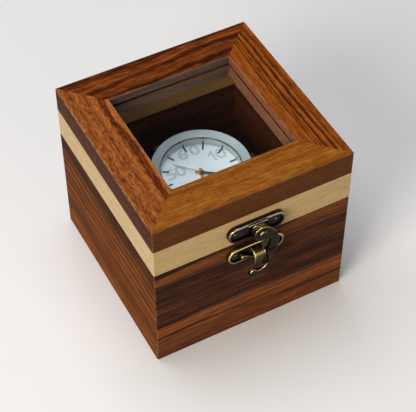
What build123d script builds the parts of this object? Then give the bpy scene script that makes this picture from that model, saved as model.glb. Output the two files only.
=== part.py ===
from build123d import *
import os

# A glass-topped wooden display box with a strapped watch on a cushion inside.
# Frame: origin at the centre of the underside, +X to the right seen from the latch,
# +Y towards the hinges, +Z up. The latch is on the face at -Y. Millimetres.

os.makedirs("parts", exist_ok=True)

SIDES = ("front", "right", "back", "left")

# ------------------------------------------------------------------ wooden case and lid
case_width = 100.0
case_depth = 100.0
base_height = 62.1
seam_gap = 0.3
band_height = 16.1
frame_height = 12.75
wall = 10.8
rail_width = 18.65
corner_ease = 0.7
arris_ease = 0.5
seam_ease = 0.3
bottom_thickness = 5.0
bottom_rabbet = 5.0
panel_fit = 0.1
lining_thickness = 1.0
lining_fit = 0.4
glass_thickness = 2.5
glass_drop = 4.3
groove_depth = 4.0
glass_side_play = 0.3
glass_top_play = 0.2

lid_z = base_height + seam_gap
frame_z = lid_z + band_height
top_z = frame_z + frame_height
inner_width = case_width - 2 * wall
inner_depth = case_depth - 2 * wall
window_width = case_width - 2 * rail_width
window_depth = case_depth - 2 * rail_width
groove_z = top_z - glass_drop - glass_thickness
lining_top = bottom_thickness + lining_thickness

front = Plane.XZ.offset(case_depth / 2)
back = Plane(origin=(0, case_depth / 2, 0), x_dir=(-1, 0, 0), z_dir=(0, 1, 0))

# ------------------------------------------------------------------ nails
nail_shank_radius = 0.5
nail_length = 6.0
nail_hole_play = 0.05
nail_head_radius = 1.3
nail_dome = 0.6
nail_crown_round = 0.48
nail_bore_radius = nail_shank_radius + nail_hole_play

# ------------------------------------------------------------------ hinges
hinge_inset = 19.0
hinge_width = 16.0
knuckle_count = 3
knuckle_play = 0.15
leaf_height = 8.0
leaf_thickness = 1.0
leaf_corner = 1.2
barrel_radius = 1.5
barrel_standoff = 0.25
barrel_clearance = 0.2
pin_radius = 0.7
pin_play = 0.05
finial_radius = 1.15
finial_length = 1.1
hinge_nail_spread = 9.0
hinge_nail_drop = 6.2

hinge_spread = case_width - 2 * hinge_inset
hinge_axis_y = case_depth / 2 + barrel_standoff + barrel_radius
hinge_axis_z = base_height + seam_gap / 2
knuckle_pitch = hinge_width / knuckle_count

# ------------------------------------------------------------------ hook latch
plate_length = 28.4
plate_height = 9.0
plate_corner = 4.2
plate_thickness = 2.8
plate_rim = 1.0
dish_depth = 1.0
plate_ease = 0.35
high_rim_length = 9.3
pad_rise = 0.6
latch_x = -0.1
latch_rise = 8.3
catch_drop = 6.1
latch_nail_spread = 20.6
latch_nail_head = 1.3

pivot_x = 0.6
pivot_rise = 7.9
rivet_radius = 1.2
rivet_play = 0.06
rivet_head_radius = 2.1
rivet_head_height = 0.9
rivet_crown_round = 0.63
washer_radius = 3.9
washer_thickness = 1.3
washer_teeth = 18
washer_tooth = 0.55
washer_play = 0.05
washer_overhang = 0.4
hook_play = 0.08
hook_thickness = 1.8
hook_head_radius = 4.4

tab_width = 5.6
tab_x = -0.7
tab_top = 3.3
tab_neck = 2.0
tab_height = 8.8
tab_thickness = 1.6
tab_reach = 7.4
tab_bend = 1.5
tab_corner = 1.1
nub_length = 5.2
nub_height = 1.9
nub_slope = -24.0
nub_x = -6.2
nub_drop = 0.9
nub_reach = 4.2
crank_top_drop = 5.0
crank_bottom_drop = 9.2
crank_radius = 1.8
hook_clearance = 0.35

latch_z = hinge_axis_z + latch_rise
catch_z = hinge_axis_z - catch_drop
pivot_z = hinge_axis_z + pivot_rise
nail_seat = plate_thickness - dish_depth
pad_out = plate_thickness + pad_rise
washer_out = pad_out + washer_play
hook_out = washer_out + washer_thickness + hook_play
tail_out = tab_reach + hook_clearance
rivet_seat = hook_out + hook_thickness + hook_play

# ------------------------------------------------------------------ cushion and strap
soft_gap = 0.3
strap_width = 16.6
strap_thickness = 2.2
strap_overlap = 15.0
cushion_length = 46.0
cushion_depth = 48.0
cushion_height = 32.2
cushion_round = 9.0
cushion_end_round = 4.0
keeper_width = 5.0
keeper_thickness = 1.0
buckle_wire = 1.6
buckle_length = 10.0
buckle_bar_y = -2.0
buckle_bar_radius = 0.6
tongue_width = 1.4
tongue_thickness = 0.8
tongue_length = 11.0
tongue_slot = 4.2
strap_eye_wall = 1.0
hole_pitch = 5.0
hole_count = 5
hole_radius = 0.9
hole_row_y = -1.5

tail_z = lining_top + soft_gap + keeper_thickness + soft_gap + strap_thickness / 2
wrap_z = tail_z + strap_thickness + soft_gap
cushion_z = wrap_z + strap_thickness / 2 + soft_gap + keeper_thickness
cushion_top = cushion_z + cushion_height

# ------------------------------------------------------------------ watch
watch_gap = 0.3
back_thickness = 1.6
back_radius = 19.4
back_ease = 0.5
back_notches = 6
notch_width = 2.4
notch_depth = 0.8
middle_radius = 22.6
middle_height = 5.95
case_bore = 19.0
movement_radius = 18.8
movement_rise = 0.2
bezel_radius = 24.0
bezel_bore = 19.6
bezel_height = 6.25
bezel_dish = 0.9
bezel_skirt = 0.5
bezel_ease = 0.35
dial_radius = 19.5
dial_thickness = 0.4
ring_height = 3.05
ring_bottom_radius = 18.85
ring_top_radius = 19.0
crystal_radius = 19.2
crystal_thickness = 1.3
crystal_ease = 0.15
gasket_play = 0.05
gasket_drop = 0.15
marker_inner = 15.2
marker_outer = 18.6
marker_width = 0.8
marker_height = 0.25
arbor_radius = 0.5
arbor_play = 0.06
arbor_end_play = 0.05
hand_gap = 0.15
hour_hand_gap = 0.2
hour_thickness = 0.25
minute_thickness = 0.2
second_thickness = 0.15
hub_radius = 1.5
hour_length = 10.4
hour_width = 1.7
minute_length = 15.4
minute_width = 1.2
hand_tail = 3.0
hand_point = 1.6
second_length = 14.2
second_width = 0.3
second_tail = 5.0
second_tail_width = 0.5
second_hub_radius = 0.8
hour_angle = 197.0
minute_angle = 125.0
second_angle = 316.5
lug_inner = 8.6
lug_width = 2.8
lug_root = 5.0
lug_end = 1.9
lug_rise = 1.6
lug_belly = 2.6
spring_bar_y = 26.2
spring_bar_drop = 3.6
spring_bar_radius = 0.75
spring_bar_grip = 1.0
bar_play = 0.05
crown_radius = 3.0
crown_length = 3.8
crown_gap = 0.4
crown_teeth = 16
crown_flute = 0.25
crown_tube_root = 1.0
crown_tube_radius = 1.6
crown_tube_length = 1.6
stem_radius = 0.6
stem_length = 2.6
stem_play = 0.05

watch_z = cushion_top + watch_gap
middle_z = watch_z + back_thickness
bezel_z = middle_z + middle_height
dial_z = bezel_z + movement_rise
dial_top = dial_z + dial_thickness
crystal_z = dial_top + ring_height
hour_z = dial_top + hour_hand_gap
minute_z = hour_z + hour_thickness + hand_gap
second_z = minute_z + minute_thickness + hand_gap
crown_z = middle_z + middle_height / 2
crown_x = middle_radius + crown_tube_length + crown_gap
spring_bar_z = bezel_z - spring_bar_drop


def save(piece, node):
    """Label a finished piece and write its STEP file."""
    piece.part.label = node
    export_step(piece.part, f"parts/{node}.step")


def mitred_end_points(side, inset):
    """Plan corners of one board, cut at 45 degrees, reaching 1 mm past both its faces."""
    over = 1.0
    ox, oy = case_width / 2 + over, case_depth / 2 + over
    ix, iy = case_width / 2 - inset - over, case_depth / 2 - inset - over
    return {
        "front": [(-ox, -oy), (ox, -oy), (ix, -iy), (-ix, -iy)],
        "right": [(ox, -oy), (ox, oy), (ix, iy), (ix, -iy)],
        "back": [(ox, oy), (-ox, oy), (-ix, iy), (ix, iy)],
        "left": [(-ox, oy), (-ox, -oy), (-ix, -iy), (-ix, iy)],
    }[side]


def save_boards(ring, inset, height, name):
    """Cut a closed ring of wood into its four mitred boards."""
    for side in SIDES:
        with BuildPart() as board:
            add(ring.part)
            with BuildSketch(Plane.XY):
                with BuildLine():
                    Polyline(*mitred_end_points(side, inset), close=True)
                make_face()
            extrude(amount=height, mode=Mode.INTERSECT)
        save(board, f"{name}_{side}")


def nails(plane, points, seat, head_radius):
    """Domed nails driven square into a face, with their heads at the seat's height."""
    with BuildPart() as group:
        with BuildSketch(plane.offset(seat)):
            with Locations(*points):
                Circle(nail_shank_radius)
        extrude(amount=-nail_length)
        with BuildSketch(plane.offset(seat)):
            with Locations(*points):
                Circle(head_radius)
        extrude(amount=nail_dome)
        outward = Axis(plane.origin, plane.z_dir)
        crowns = group.faces().filter_by(outward).group_by(outward)[-1]
        fillet(crowns.edges(), nail_crown_round)
    return group


# ================================================================== base of the box
hinge_xs = (-hinge_spread / 2, hinge_spread / 2)
catch_nail_points = [(latch_x + s * latch_nail_spread / 2, catch_z) for s in (-1, 1)]
latch_nail_points = [(latch_x + s * latch_nail_spread / 2, latch_z) for s in (-1, 1)]
base_hinge_points = [
    (x + s * hinge_nail_spread / 2, hinge_axis_z - hinge_nail_drop) for x in hinge_xs for s in (-1, 1)
]
lid_hinge_points = [
    (x + s * hinge_nail_spread / 2, hinge_axis_z + hinge_nail_drop) for x in hinge_xs for s in (-1, 1)
]

with BuildPart() as base_ring:
    with BuildSketch(Plane.XY):
        RectangleRounded(case_width, case_depth, corner_ease)
        Rectangle(inner_width, inner_depth, mode=Mode.SUBTRACT)
    extrude(amount=base_height)
    with BuildSketch(Plane.XY):
        Rectangle(inner_width + 2 * bottom_rabbet, inner_depth + 2 * bottom_rabbet)
    extrude(amount=bottom_thickness, mode=Mode.SUBTRACT)
    rims = base_ring.faces().sort_by(Axis.Z)
    fillet(rims[0].outer_wire().edges() + rims[-1].outer_wire().edges(), seam_ease)
    for face_plane, points in ((front, catch_nail_points), (back, base_hinge_points)):
        with BuildSketch(face_plane):
            with Locations(*points):
                Circle(nail_bore_radius)
        extrude(amount=-nail_length, mode=Mode.SUBTRACT)
save_boards(base_ring, wall, base_height, "wall")

with BuildPart() as bottom_panel:
    with BuildSketch(Plane.XY):
        Rectangle(
            inner_width + 2 * (bottom_rabbet - panel_fit), inner_depth + 2 * (bottom_rabbet - panel_fit)
        )
    extrude(amount=bottom_thickness)
save(bottom_panel, "bottom_panel")

with BuildPart() as floor_lining:
    with BuildSketch(Plane.XY.offset(bottom_thickness)):
        Rectangle(inner_width - 2 * lining_fit, inner_depth - 2 * lining_fit)
    extrude(amount=lining_thickness)
save(floor_lining, "floor_lining")

# ================================================================== lid
with BuildPart() as band_ring:
    with BuildSketch(Plane.XY.offset(lid_z)):
        RectangleRounded(case_width, case_depth, corner_ease)
        Rectangle(inner_width, inner_depth, mode=Mode.SUBTRACT)
    extrude(amount=band_height)
    fillet(band_ring.faces().sort_by(Axis.Z)[0].outer_wire().edges(), seam_ease)
    for face_plane, points in ((front, latch_nail_points), (back, lid_hinge_points)):
        with BuildSketch(face_plane):
            with Locations(*points):
                Circle(nail_bore_radius)
        extrude(amount=-nail_length, mode=Mode.SUBTRACT)
save_boards(band_ring, wall, top_z, "band")

with BuildPart() as frame_ring:
    with BuildSketch(Plane.XY.offset(frame_z)):
        RectangleRounded(case_width, case_depth, corner_ease)
        Rectangle(window_width, window_depth, mode=Mode.SUBTRACT)
    extrude(amount=frame_height)
    fillet(frame_ring.faces().sort_by(Axis.Z)[-1].outer_wire().edges(), arris_ease)
    with BuildSketch(Plane.XY.offset(groove_z)):
        Rectangle(window_width + 2 * groove_depth, window_depth + 2 * groove_depth)
    extrude(amount=glass_thickness + glass_top_play, mode=Mode.SUBTRACT)
save_boards(frame_ring, rail_width, top_z, "frame_rail")

pane_inset = groove_depth - glass_side_play
with BuildPart() as glass_pane:
    with BuildSketch(Plane.XY.offset(groove_z)):
        Rectangle(window_width + 2 * pane_inset, window_depth + 2 * pane_inset)
    extrude(amount=glass_thickness)
save(glass_pane, "glass_pane")


# ================================================================== hinges
def hinge_leaf(hinge_x, side, knuckles):
    """One leaf on the back face: side is -1 for the base and 1 for the lid."""
    plate_start = barrel_radius + barrel_clearance
    plate_centre = hinge_axis_z + side * (plate_start + leaf_height / 2)
    left_end = hinge_x - hinge_width / 2
    with BuildPart() as leaf:
        with BuildSketch(back):
            with Locations((-hinge_x, plate_centre)):
                RectangleRounded(hinge_width, leaf_height, leaf_corner)
            for index in knuckles:
                with Locations((-(left_end + (index + 0.5) * knuckle_pitch), hinge_axis_z)):
                    reach = plate_start + leaf_corner
                    align = Align.MIN if side > 0 else Align.MAX
                    Rectangle(knuckle_pitch - knuckle_play, reach, align=(Align.CENTER, align))
        extrude(amount=leaf_thickness)
        for index in knuckles:
            with BuildSketch(Plane.YZ.offset(left_end + index * knuckle_pitch + knuckle_play / 2)):
                with Locations((hinge_axis_y, hinge_axis_z)):
                    Circle(barrel_radius)
            extrude(amount=knuckle_pitch - knuckle_play)
        with BuildSketch(Plane.YZ.offset(left_end)):
            with Locations((hinge_axis_y, hinge_axis_z)):
                Circle(pin_radius + pin_play)
        extrude(amount=hinge_width, mode=Mode.SUBTRACT)
        with BuildSketch(back):
            with Locations(
                *[
                    (-hinge_x + s * hinge_nail_spread / 2, hinge_axis_z + side * hinge_nail_drop)
                    for s in (-1, 1)
                ]
            ):
                Circle(nail_bore_radius)
        extrude(amount=leaf_thickness, mode=Mode.SUBTRACT)
    return leaf


def hinge_pin(hinge_x):
    """Pin with a turned finial at each end of the barrel."""
    half = hinge_width / 2
    with BuildPart() as pin:
        with BuildSketch(Plane.YZ.offset(hinge_x - half - finial_length)):
            with Locations((hinge_axis_y, hinge_axis_z)):
                Circle(pin_radius)
        extrude(amount=hinge_width + 2 * finial_length)
        for start in (hinge_x - half - finial_length, hinge_x + half):
            with BuildSketch(Plane.YZ.offset(start)):
                with Locations((hinge_axis_y, hinge_axis_z)):
                    Circle(finial_radius)
            extrude(amount=finial_length)
    return pin


for hinge_x, hand in zip(hinge_xs, ("left", "right")):
    save(hinge_leaf(hinge_x, -1, (0, 2)), f"hinge_base_leaf_{hand}")
    save(hinge_leaf(hinge_x, 1, (1,)), f"hinge_lid_leaf_{hand}")
    save(hinge_pin(hinge_x), f"hinge_pin_{hand}")
save(nails(back, base_hinge_points, leaf_thickness, nail_head_radius), "hinge_base_nails")
save(nails(back, lid_hinge_points, leaf_thickness, nail_head_radius), "hinge_lid_nails")


# ================================================================== hook latch
def latch_plate_blank(centre_z, nail_points):
    """Oval cast plate with a dished face inside a raised rim, and two nail holes."""
    with BuildPart() as plate:
        with BuildSketch(front):
            with Locations((latch_x, centre_z)):
                RectangleRounded(plate_length, plate_height, plate_corner)
        extrude(amount=plate_thickness)
        fillet(plate.faces().sort_by(Axis.Y)[0].edges(), plate_ease)
        with BuildSketch(front.offset(plate_thickness)):
            with Locations((latch_x, centre_z)):
                RectangleRounded(
                    plate_length - 2 * plate_rim, plate_height - 2 * plate_rim, plate_corner - plate_rim
                )
        extrude(amount=-dish_depth, mode=Mode.SUBTRACT)
        with BuildSketch(front):
            with Locations(*nail_points):
                Circle(nail_bore_radius)
        extrude(amount=plate_thickness, mode=Mode.SUBTRACT)
    return plate


# The latch's plate has a higher rim in the middle, and a round pad in its dish for the washer.
with BuildPart() as latch_plate:
    add(latch_plate_blank(latch_z, latch_nail_points).part)
    with BuildSketch(front.offset(nail_seat)):
        with Locations((latch_x, latch_z)):
            Rectangle(high_rim_length, plate_height - 2 * plate_ease)
            Rectangle(high_rim_length, plate_height - 2 * plate_rim, mode=Mode.SUBTRACT)
        with Locations((pivot_x, pivot_z)):
            Circle(washer_radius - washer_overhang)
    extrude(amount=pad_out - nail_seat)
    with BuildSketch(front):
        with Locations((pivot_x, pivot_z)):
            Circle(rivet_radius + nail_hole_play)
    extrude(amount=pad_out, mode=Mode.SUBTRACT)
save(latch_plate, "latch_plate")
save(nails(front, latch_nail_points, nail_seat, latch_nail_head), "latch_nails")

# The catch is a tab bent out of its plate and down again, with a nub beside it where a hook's
# tip comes to rest.
tab_top_z = catch_z + tab_top
with BuildPart() as catch_plate:
    add(latch_plate_blank(catch_z, catch_nail_points).part)
    with BuildSketch(Plane.YZ.offset(tab_x - tab_width / 2)):
        with BuildLine():
            FilletPolyline(
                (-case_depth / 2 - nail_seat, tab_top_z - tab_neck / 2),
                (-case_depth / 2 - tab_reach + tab_thickness / 2, tab_top_z - tab_neck / 2),
                (-case_depth / 2 - tab_reach + tab_thickness / 2, tab_top_z - tab_height),
                radius=tab_bend,
            )
        trace(line_width=tab_thickness)
    extrude(amount=tab_width)
    lip = catch_plate.edges().filter_by(Axis.Y).group_by(Axis.Z)[0]
    fillet(lip, tab_corner)
    with BuildSketch(front.offset(nail_seat)):
        with Locations((nub_x, catch_z - nub_drop)):
            SlotOverall(nub_length, nub_height, rotation=nub_slope)
    extrude(amount=nub_reach - nail_seat)
save(catch_plate, "catch_plate")
save(nails(front, catch_nail_points, nail_seat, latch_nail_head), "catch_nails")

with BuildPart() as latch_washer:
    with BuildSketch(front.offset(washer_out)):
        with Locations((pivot_x, pivot_z)):
            Circle(washer_radius)
            Circle(rivet_radius + rivet_play, mode=Mode.SUBTRACT)
            with PolarLocations(washer_radius, washer_teeth):
                Rectangle(2 * washer_tooth, washer_tooth, mode=Mode.SUBTRACT)
    extrude(amount=washer_thickness)
save(latch_washer, "latch_washer")

with BuildPart() as latch_rivet:
    with BuildSketch(front.offset(nail_hole_play)):
        with Locations((pivot_x, pivot_z)):
            Circle(rivet_radius)
    extrude(amount=rivet_seat - nail_hole_play)
    with BuildSketch(front.offset(rivet_seat)):
        with Locations((pivot_x, pivot_z)):
            Circle(rivet_head_radius)
    extrude(amount=rivet_head_height)
    fillet(latch_rivet.faces().sort_by(Axis.Y)[0].edges(), rivet_crown_round)
save(latch_rivet, "latch_rivet")

# The hook: a round head, an arm that bulges to the right, and a tail that is cranked outwards and
# sweeps left under the catch. Its outline is drawn on the front face, its crank in side view.
hook_outer = [(4.1, 10.6), (8.2, 5.0), (9.3, -0.6), (8.2, -4.8), (5.4, -7.4), (4.0, -9.6),
              (3.0, -11.8), (0.8, -13.9), (-2.0, -15.4), (-5.0, -15.8)]
hook_tip = [(-6.8, -14.9), (-7.1, -12.7), (-6.0, -11.1)]
hook_inner = [(-3.7, -11.9), (-1.5, -12.4), (0.6, -11.1), (2.5, -8.9), (2.9, -6.4), (4.2, -2.2),
              (4.8, 1.3), (3.5, 4.6)]
hook_top = pivot_rise + hook_head_radius + hook_thickness
hook_bottom = hook_outer[-1][1] - hook_thickness


def above_seam(points):
    """Lift points drawn from the seam line to their height in the box."""
    return [(x, hinge_axis_z + z) for x, z in points]


arm_mid = -case_depth / 2 - hook_out - hook_thickness / 2
tail_mid = -case_depth / 2 - tail_out - hook_thickness / 2
with BuildPart() as latch_hook:
    with BuildSketch(front.offset(hook_out - hook_play)):
        with Locations((pivot_x, pivot_z)):
            Circle(hook_head_radius)
        with BuildLine():
            outer_edge = Spline(*above_seam(hook_outer))
            tip_edge = Spline(outer_edge @ 1, *above_seam(hook_tip), above_seam(hook_inner)[0])
            inner_edge = Spline(*above_seam(hook_inner))
            Line(inner_edge @ 1, outer_edge @ 0)
        make_face()
    extrude(amount=tail_out + hook_thickness - hook_out + 2 * hook_play)
    with BuildSketch(Plane.YZ.offset(-plate_length)):
        with BuildLine():
            FilletPolyline(
                (arm_mid, hinge_axis_z + hook_top),
                (arm_mid, hinge_axis_z - crank_top_drop),
                (tail_mid, hinge_axis_z - crank_bottom_drop),
                (tail_mid, hinge_axis_z + hook_bottom),
                radius=crank_radius,
            )
        trace(line_width=hook_thickness)
    extrude(amount=2 * plate_length, mode=Mode.INTERSECT)
    with BuildSketch(front):
        with Locations((pivot_x, pivot_z)):
            Circle(rivet_radius + rivet_play)
    extrude(amount=rivet_seat, mode=Mode.SUBTRACT)
save(latch_hook, "latch_hook")

# ================================================================== cushion
with BuildPart() as watch_cushion:
    with BuildSketch(Plane.YZ.offset(-cushion_length / 2)):
        with Locations((0, cushion_z + cushion_height / 2)):
            RectangleRounded(cushion_depth, cushion_height, cushion_round)
    extrude(amount=cushion_length)
    ends = watch_cushion.faces().filter_by(Axis.X)
    fillet(ends.edges(), cushion_end_round)
save(watch_cushion, "watch_cushion")

# ================================================================== watch
with BuildPart() as watch_back:
    with BuildSketch(Plane.XY.offset(watch_z)):
        Circle(back_radius)
        with PolarLocations(back_radius, back_notches):
            Rectangle(2 * notch_depth, notch_width, mode=Mode.SUBTRACT)
    extrude(amount=back_thickness)
    rim = watch_back.faces().sort_by(Axis.Z)[0].outer_wire().edges().filter_by(GeomType.CIRCLE)
    fillet(rim, back_ease)
save(watch_back, "watch_back")

# A lug grows out of the middle's side, curves down past the spring bar and ends in a rounded tip.
spring_bar_points = [(y, spring_bar_z) for y in (-spring_bar_y, spring_bar_y)]
lug_start_y = middle_radius - lug_root
lug_tip_y = spring_bar_y + lug_end
lug_tip_z = spring_bar_z + lug_rise
lug_low_z = spring_bar_z - lug_belly
lug_heel_y = spring_bar_y - lug_rise
with BuildPart() as watch_middle:
    with BuildSketch(Plane.XY.offset(middle_z)):
        Circle(middle_radius)
    extrude(amount=middle_height)
    with BuildSketch(Plane.YZ.offset(lug_inner)):
        with BuildLine():
            Line((lug_start_y, bezel_z), (lug_start_y, middle_z))
            Line((lug_start_y, middle_z), (lug_heel_y, lug_low_z))
            RadiusArc((lug_heel_y, lug_low_z), (lug_tip_y, lug_tip_z), -lug_belly - lug_end / 2)
            ThreePointArc(
                (lug_tip_y, lug_tip_z),
                (middle_radius + lug_width / 4, bezel_z - lug_rise),
                (lug_start_y, bezel_z),
            )
        make_face()
    extrude(amount=lug_width)
    mirror(watch_middle.part, about=Plane.YZ)
    mirror(watch_middle.part, about=Plane.XZ)
    with BuildSketch(Plane.YZ.offset(-lug_inner - spring_bar_grip)):
        with Locations(*spring_bar_points):
            Circle(spring_bar_radius + bar_play)
    extrude(amount=2 * (lug_inner + spring_bar_grip), mode=Mode.SUBTRACT)
    with BuildSketch(Plane.YZ.offset(middle_radius - crown_tube_root)):
        with Locations((0, crown_z)):
            Circle(crown_tube_radius)
    extrude(amount=crown_tube_root + crown_tube_length)
    with BuildSketch(Plane.XY.offset(middle_z)):
        Circle(case_bore)
    extrude(amount=middle_height, mode=Mode.SUBTRACT)
    with BuildSketch(Plane.YZ.offset(case_bore - crown_tube_root)):
        with Locations((0, crown_z)):
            Circle(stem_radius + stem_play)
    extrude(amount=middle_radius, mode=Mode.SUBTRACT)
save(watch_middle, "watch_middle")

with BuildPart() as spring_bars:
    with BuildSketch(Plane.YZ.offset(-lug_inner - spring_bar_grip + bar_play)):
        with Locations(*spring_bar_points):
            Circle(spring_bar_radius)
    extrude(amount=2 * (lug_inner + spring_bar_grip - bar_play))
save(spring_bars, "spring_bars")

# The bezel is turned: its face dips slightly towards the crystal and its side draws in underneath.
with BuildPart() as bezel:
    with BuildSketch(Plane.XZ):
        with BuildLine():
            Polyline(
                (bezel_bore, bezel_z),
                (bezel_radius - bezel_skirt, bezel_z),
                (bezel_radius, bezel_z + bezel_height - 2 * bezel_ease),
                (bezel_radius - bezel_ease, bezel_z + bezel_height),
                (bezel_bore, bezel_z + bezel_height - bezel_dish),
                close=True,
            )
        make_face()
    revolve(axis=Axis.Z)
save(bezel, "bezel")

with BuildPart() as movement:
    with BuildSketch(Plane.XY.offset(middle_z)):
        Circle(movement_radius)
    extrude(amount=dial_z - middle_z)
    with BuildSketch(Plane.XY.offset(dial_z)):
        Circle(arbor_radius)
    extrude(amount=second_z - arbor_end_play - dial_z)
    with BuildSketch(Plane.YZ.offset(movement_radius - stem_length)):
        with Locations((0, crown_z)):
            Circle(stem_radius + 2 * stem_play)
    extrude(amount=stem_length, mode=Mode.SUBTRACT)
save(movement, "movement")

with BuildPart() as dial:
    with BuildSketch(Plane.XY.offset(dial_z)):
        Circle(dial_radius)
        Circle(arbor_radius + arbor_play, mode=Mode.SUBTRACT)
    extrude(amount=dial_thickness)
save(dial, "dial")

with BuildPart() as hour_markers:
    with BuildSketch(Plane.XY.offset(dial_top)):
        with PolarLocations((marker_inner + marker_outer) / 2, 12):
            Rectangle(marker_outer - marker_inner, marker_width)
    extrude(amount=marker_height)
save(hour_markers, "hour_markers")

with BuildPart() as dial_ring:
    with BuildSketch(Plane.XZ):
        with BuildLine():
            Polyline(
                (ring_bottom_radius, dial_top),
                (dial_radius, dial_top),
                (dial_radius, crystal_z),
                (ring_top_radius, crystal_z),
                close=True,
            )
        make_face()
    revolve(axis=Axis.Z)
save(dial_ring, "dial_ring")

with BuildPart() as crystal:
    with BuildSketch(Plane.XY.offset(crystal_z)):
        Circle(crystal_radius)
    extrude(amount=crystal_thickness)
    chamfer(crystal.faces().sort_by(Axis.Z)[-1].edges(), crystal_ease)
save(crystal, "crystal")

with BuildPart() as crystal_gasket:
    with BuildSketch(Plane.XY.offset(crystal_z)):
        Circle(bezel_bore - gasket_play)
        Circle(crystal_radius + gasket_play, mode=Mode.SUBTRACT)
    extrude(amount=crystal_thickness - gasket_drop)
save(crystal_gasket, "crystal_gasket")

# ------------------------------------------------------------------ hands and crown
arbor_bore = arbor_radius + arbor_play


def baton_hand(level_z, clock_degrees, length, width, thickness):
    """Pointed flat hand with a short tail and a bored hub, lying at its bearing clockwise from 12."""
    with BuildPart() as hand:
        with BuildSketch(Plane.XY.offset(level_z).rotated((0, 0, 90 - clock_degrees))):
            Circle(hub_radius)
            with BuildLine():
                Polyline(
                    (-hand_tail, -width / 2),
                    (-hand_tail, width / 2),
                    (length - hand_point, width / 2),
                    (length, 0),
                    (length - hand_point, -width / 2),
                    close=True,
                )
            make_face()
            Circle(arbor_bore, mode=Mode.SUBTRACT)
        extrude(amount=thickness)
    return hand


save(baton_hand(hour_z, hour_angle, hour_length, hour_width, hour_thickness), "hour_hand")
save(baton_hand(minute_z, minute_angle, minute_length, minute_width, minute_thickness), "minute_hand")

with BuildPart() as second_hand:
    with BuildSketch(Plane.XY.offset(second_z).rotated((0, 0, 90 - second_angle))):
        Circle(second_hub_radius)
        Rectangle(second_length, second_width, align=(Align.MIN, Align.CENTER))
        Rectangle(second_tail, second_tail_width, align=(Align.MAX, Align.CENTER))
    extrude(amount=second_thickness)
save(second_hand, "second_hand")

with BuildPart() as crown:
    with BuildSketch(Plane.YZ.offset(crown_x)):
        with Locations((0, crown_z)):
            Circle(crown_radius)
            with PolarLocations(crown_radius, crown_teeth):
                Circle(crown_flute, mode=Mode.SUBTRACT)
    extrude(amount=crown_length)
    with BuildSketch(Plane.YZ.offset(movement_radius - stem_length + bar_play)):
        with Locations((0, crown_z)):
            Circle(stem_radius)
    extrude(amount=crown_x - movement_radius + stem_length)
save(crown, "crown")

# ================================================================== strap round the cushion
strap_side = cushion_depth / 2 + soft_gap + strap_thickness / 2
strap_turn = cushion_round + soft_gap + strap_thickness / 2
strap_knee_z = middle_z - strap_thickness
strap_eye = spring_bar_radius + strap_eye_wall
tail_end_y = -strap_overlap
buckle_half_width = strap_width / 2 + soft_gap + buckle_wire


def strap_half(side, end_y, level_z):
    """Strap from a spring bar down one side of the cushion and under it to end_y."""
    with BuildPart() as half:
        with BuildSketch(Plane.YZ.offset(-strap_width / 2)):
            with BuildLine():
                FilletPolyline(
                    (side * spring_bar_y, spring_bar_z),
                    (side * strap_side, strap_knee_z),
                    (side * strap_side, level_z),
                    (end_y, level_z),
                    radius=[strap_thickness, strap_turn],
                )
            trace(line_width=strap_thickness)
            with Locations((side * spring_bar_y, spring_bar_z)):
                Circle(strap_eye)
                Circle(spring_bar_radius + bar_play, mode=Mode.SUBTRACT)
        extrude(amount=strap_width)
    return half


with BuildPart() as strap_tail_half:
    add(strap_half(1, tail_end_y, tail_z).part)
    with BuildSketch(Plane.XY.offset(lining_top)):
        with Locations((0, hole_row_y)):
            with GridLocations(0, hole_pitch, 1, hole_count):
                Circle(hole_radius)
    extrude(amount=tail_z + strap_thickness - lining_top, mode=Mode.SUBTRACT)
save(strap_tail_half, "strap_tail_half")

with BuildPart() as strap_buckle_half:
    add(strap_half(-1, buckle_bar_y, wrap_z).part)
    with BuildSketch(Plane.YZ.offset(-strap_width / 2)):
        with Locations((buckle_bar_y, wrap_z)):
            Circle(strap_thickness / 2)
    extrude(amount=strap_width)
    with BuildSketch(Plane.YZ.offset(-strap_width / 2)):
        with Locations((buckle_bar_y, wrap_z)):
            Circle(buckle_bar_radius + bar_play)
    extrude(amount=strap_width, mode=Mode.SUBTRACT)
    with BuildSketch(Plane.XY.offset(wrap_z - strap_thickness)):
        with Locations((0, buckle_bar_y)):
            Rectangle(tongue_width + 2 * soft_gap, tongue_slot)
    extrude(amount=2 * strap_thickness, mode=Mode.SUBTRACT)
save(strap_buckle_half, "strap_buckle_half")

with BuildPart() as buckle:
    with BuildSketch(Plane.XY.offset(wrap_z - buckle_bar_radius)):
        with Locations((0, buckle_bar_y + buckle_length / 2)):
            Rectangle(2 * buckle_half_width, buckle_length + 2 * buckle_bar_radius)
        with Locations((0, buckle_bar_y + buckle_length / 2 - buckle_bar_radius)):
            Rectangle(2 * (buckle_half_width - buckle_wire), buckle_length, mode=Mode.SUBTRACT)
    extrude(amount=2 * buckle_bar_radius)
    with BuildSketch(Plane.YZ.offset(-buckle_half_width)):
        with Locations((buckle_bar_y, wrap_z)):
            Circle(buckle_bar_radius)
    extrude(amount=2 * buckle_half_width)
save(buckle, "buckle")

with BuildPart() as buckle_tongue:
    with BuildSketch(Plane.YZ.offset(-tongue_width / 2)):
        with Locations((buckle_bar_y, wrap_z)):
            Circle(strap_thickness / 2)
        with Locations((buckle_bar_y, wrap_z + strap_thickness / 2)):
            Rectangle(tongue_length, tongue_thickness / 2, align=(Align.MIN, Align.MAX))
        with Locations((buckle_bar_y, wrap_z)):
            Circle(buckle_bar_radius + bar_play, mode=Mode.SUBTRACT)
    extrude(amount=tongue_width)
save(buckle_tongue, "buckle_tongue")

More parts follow.
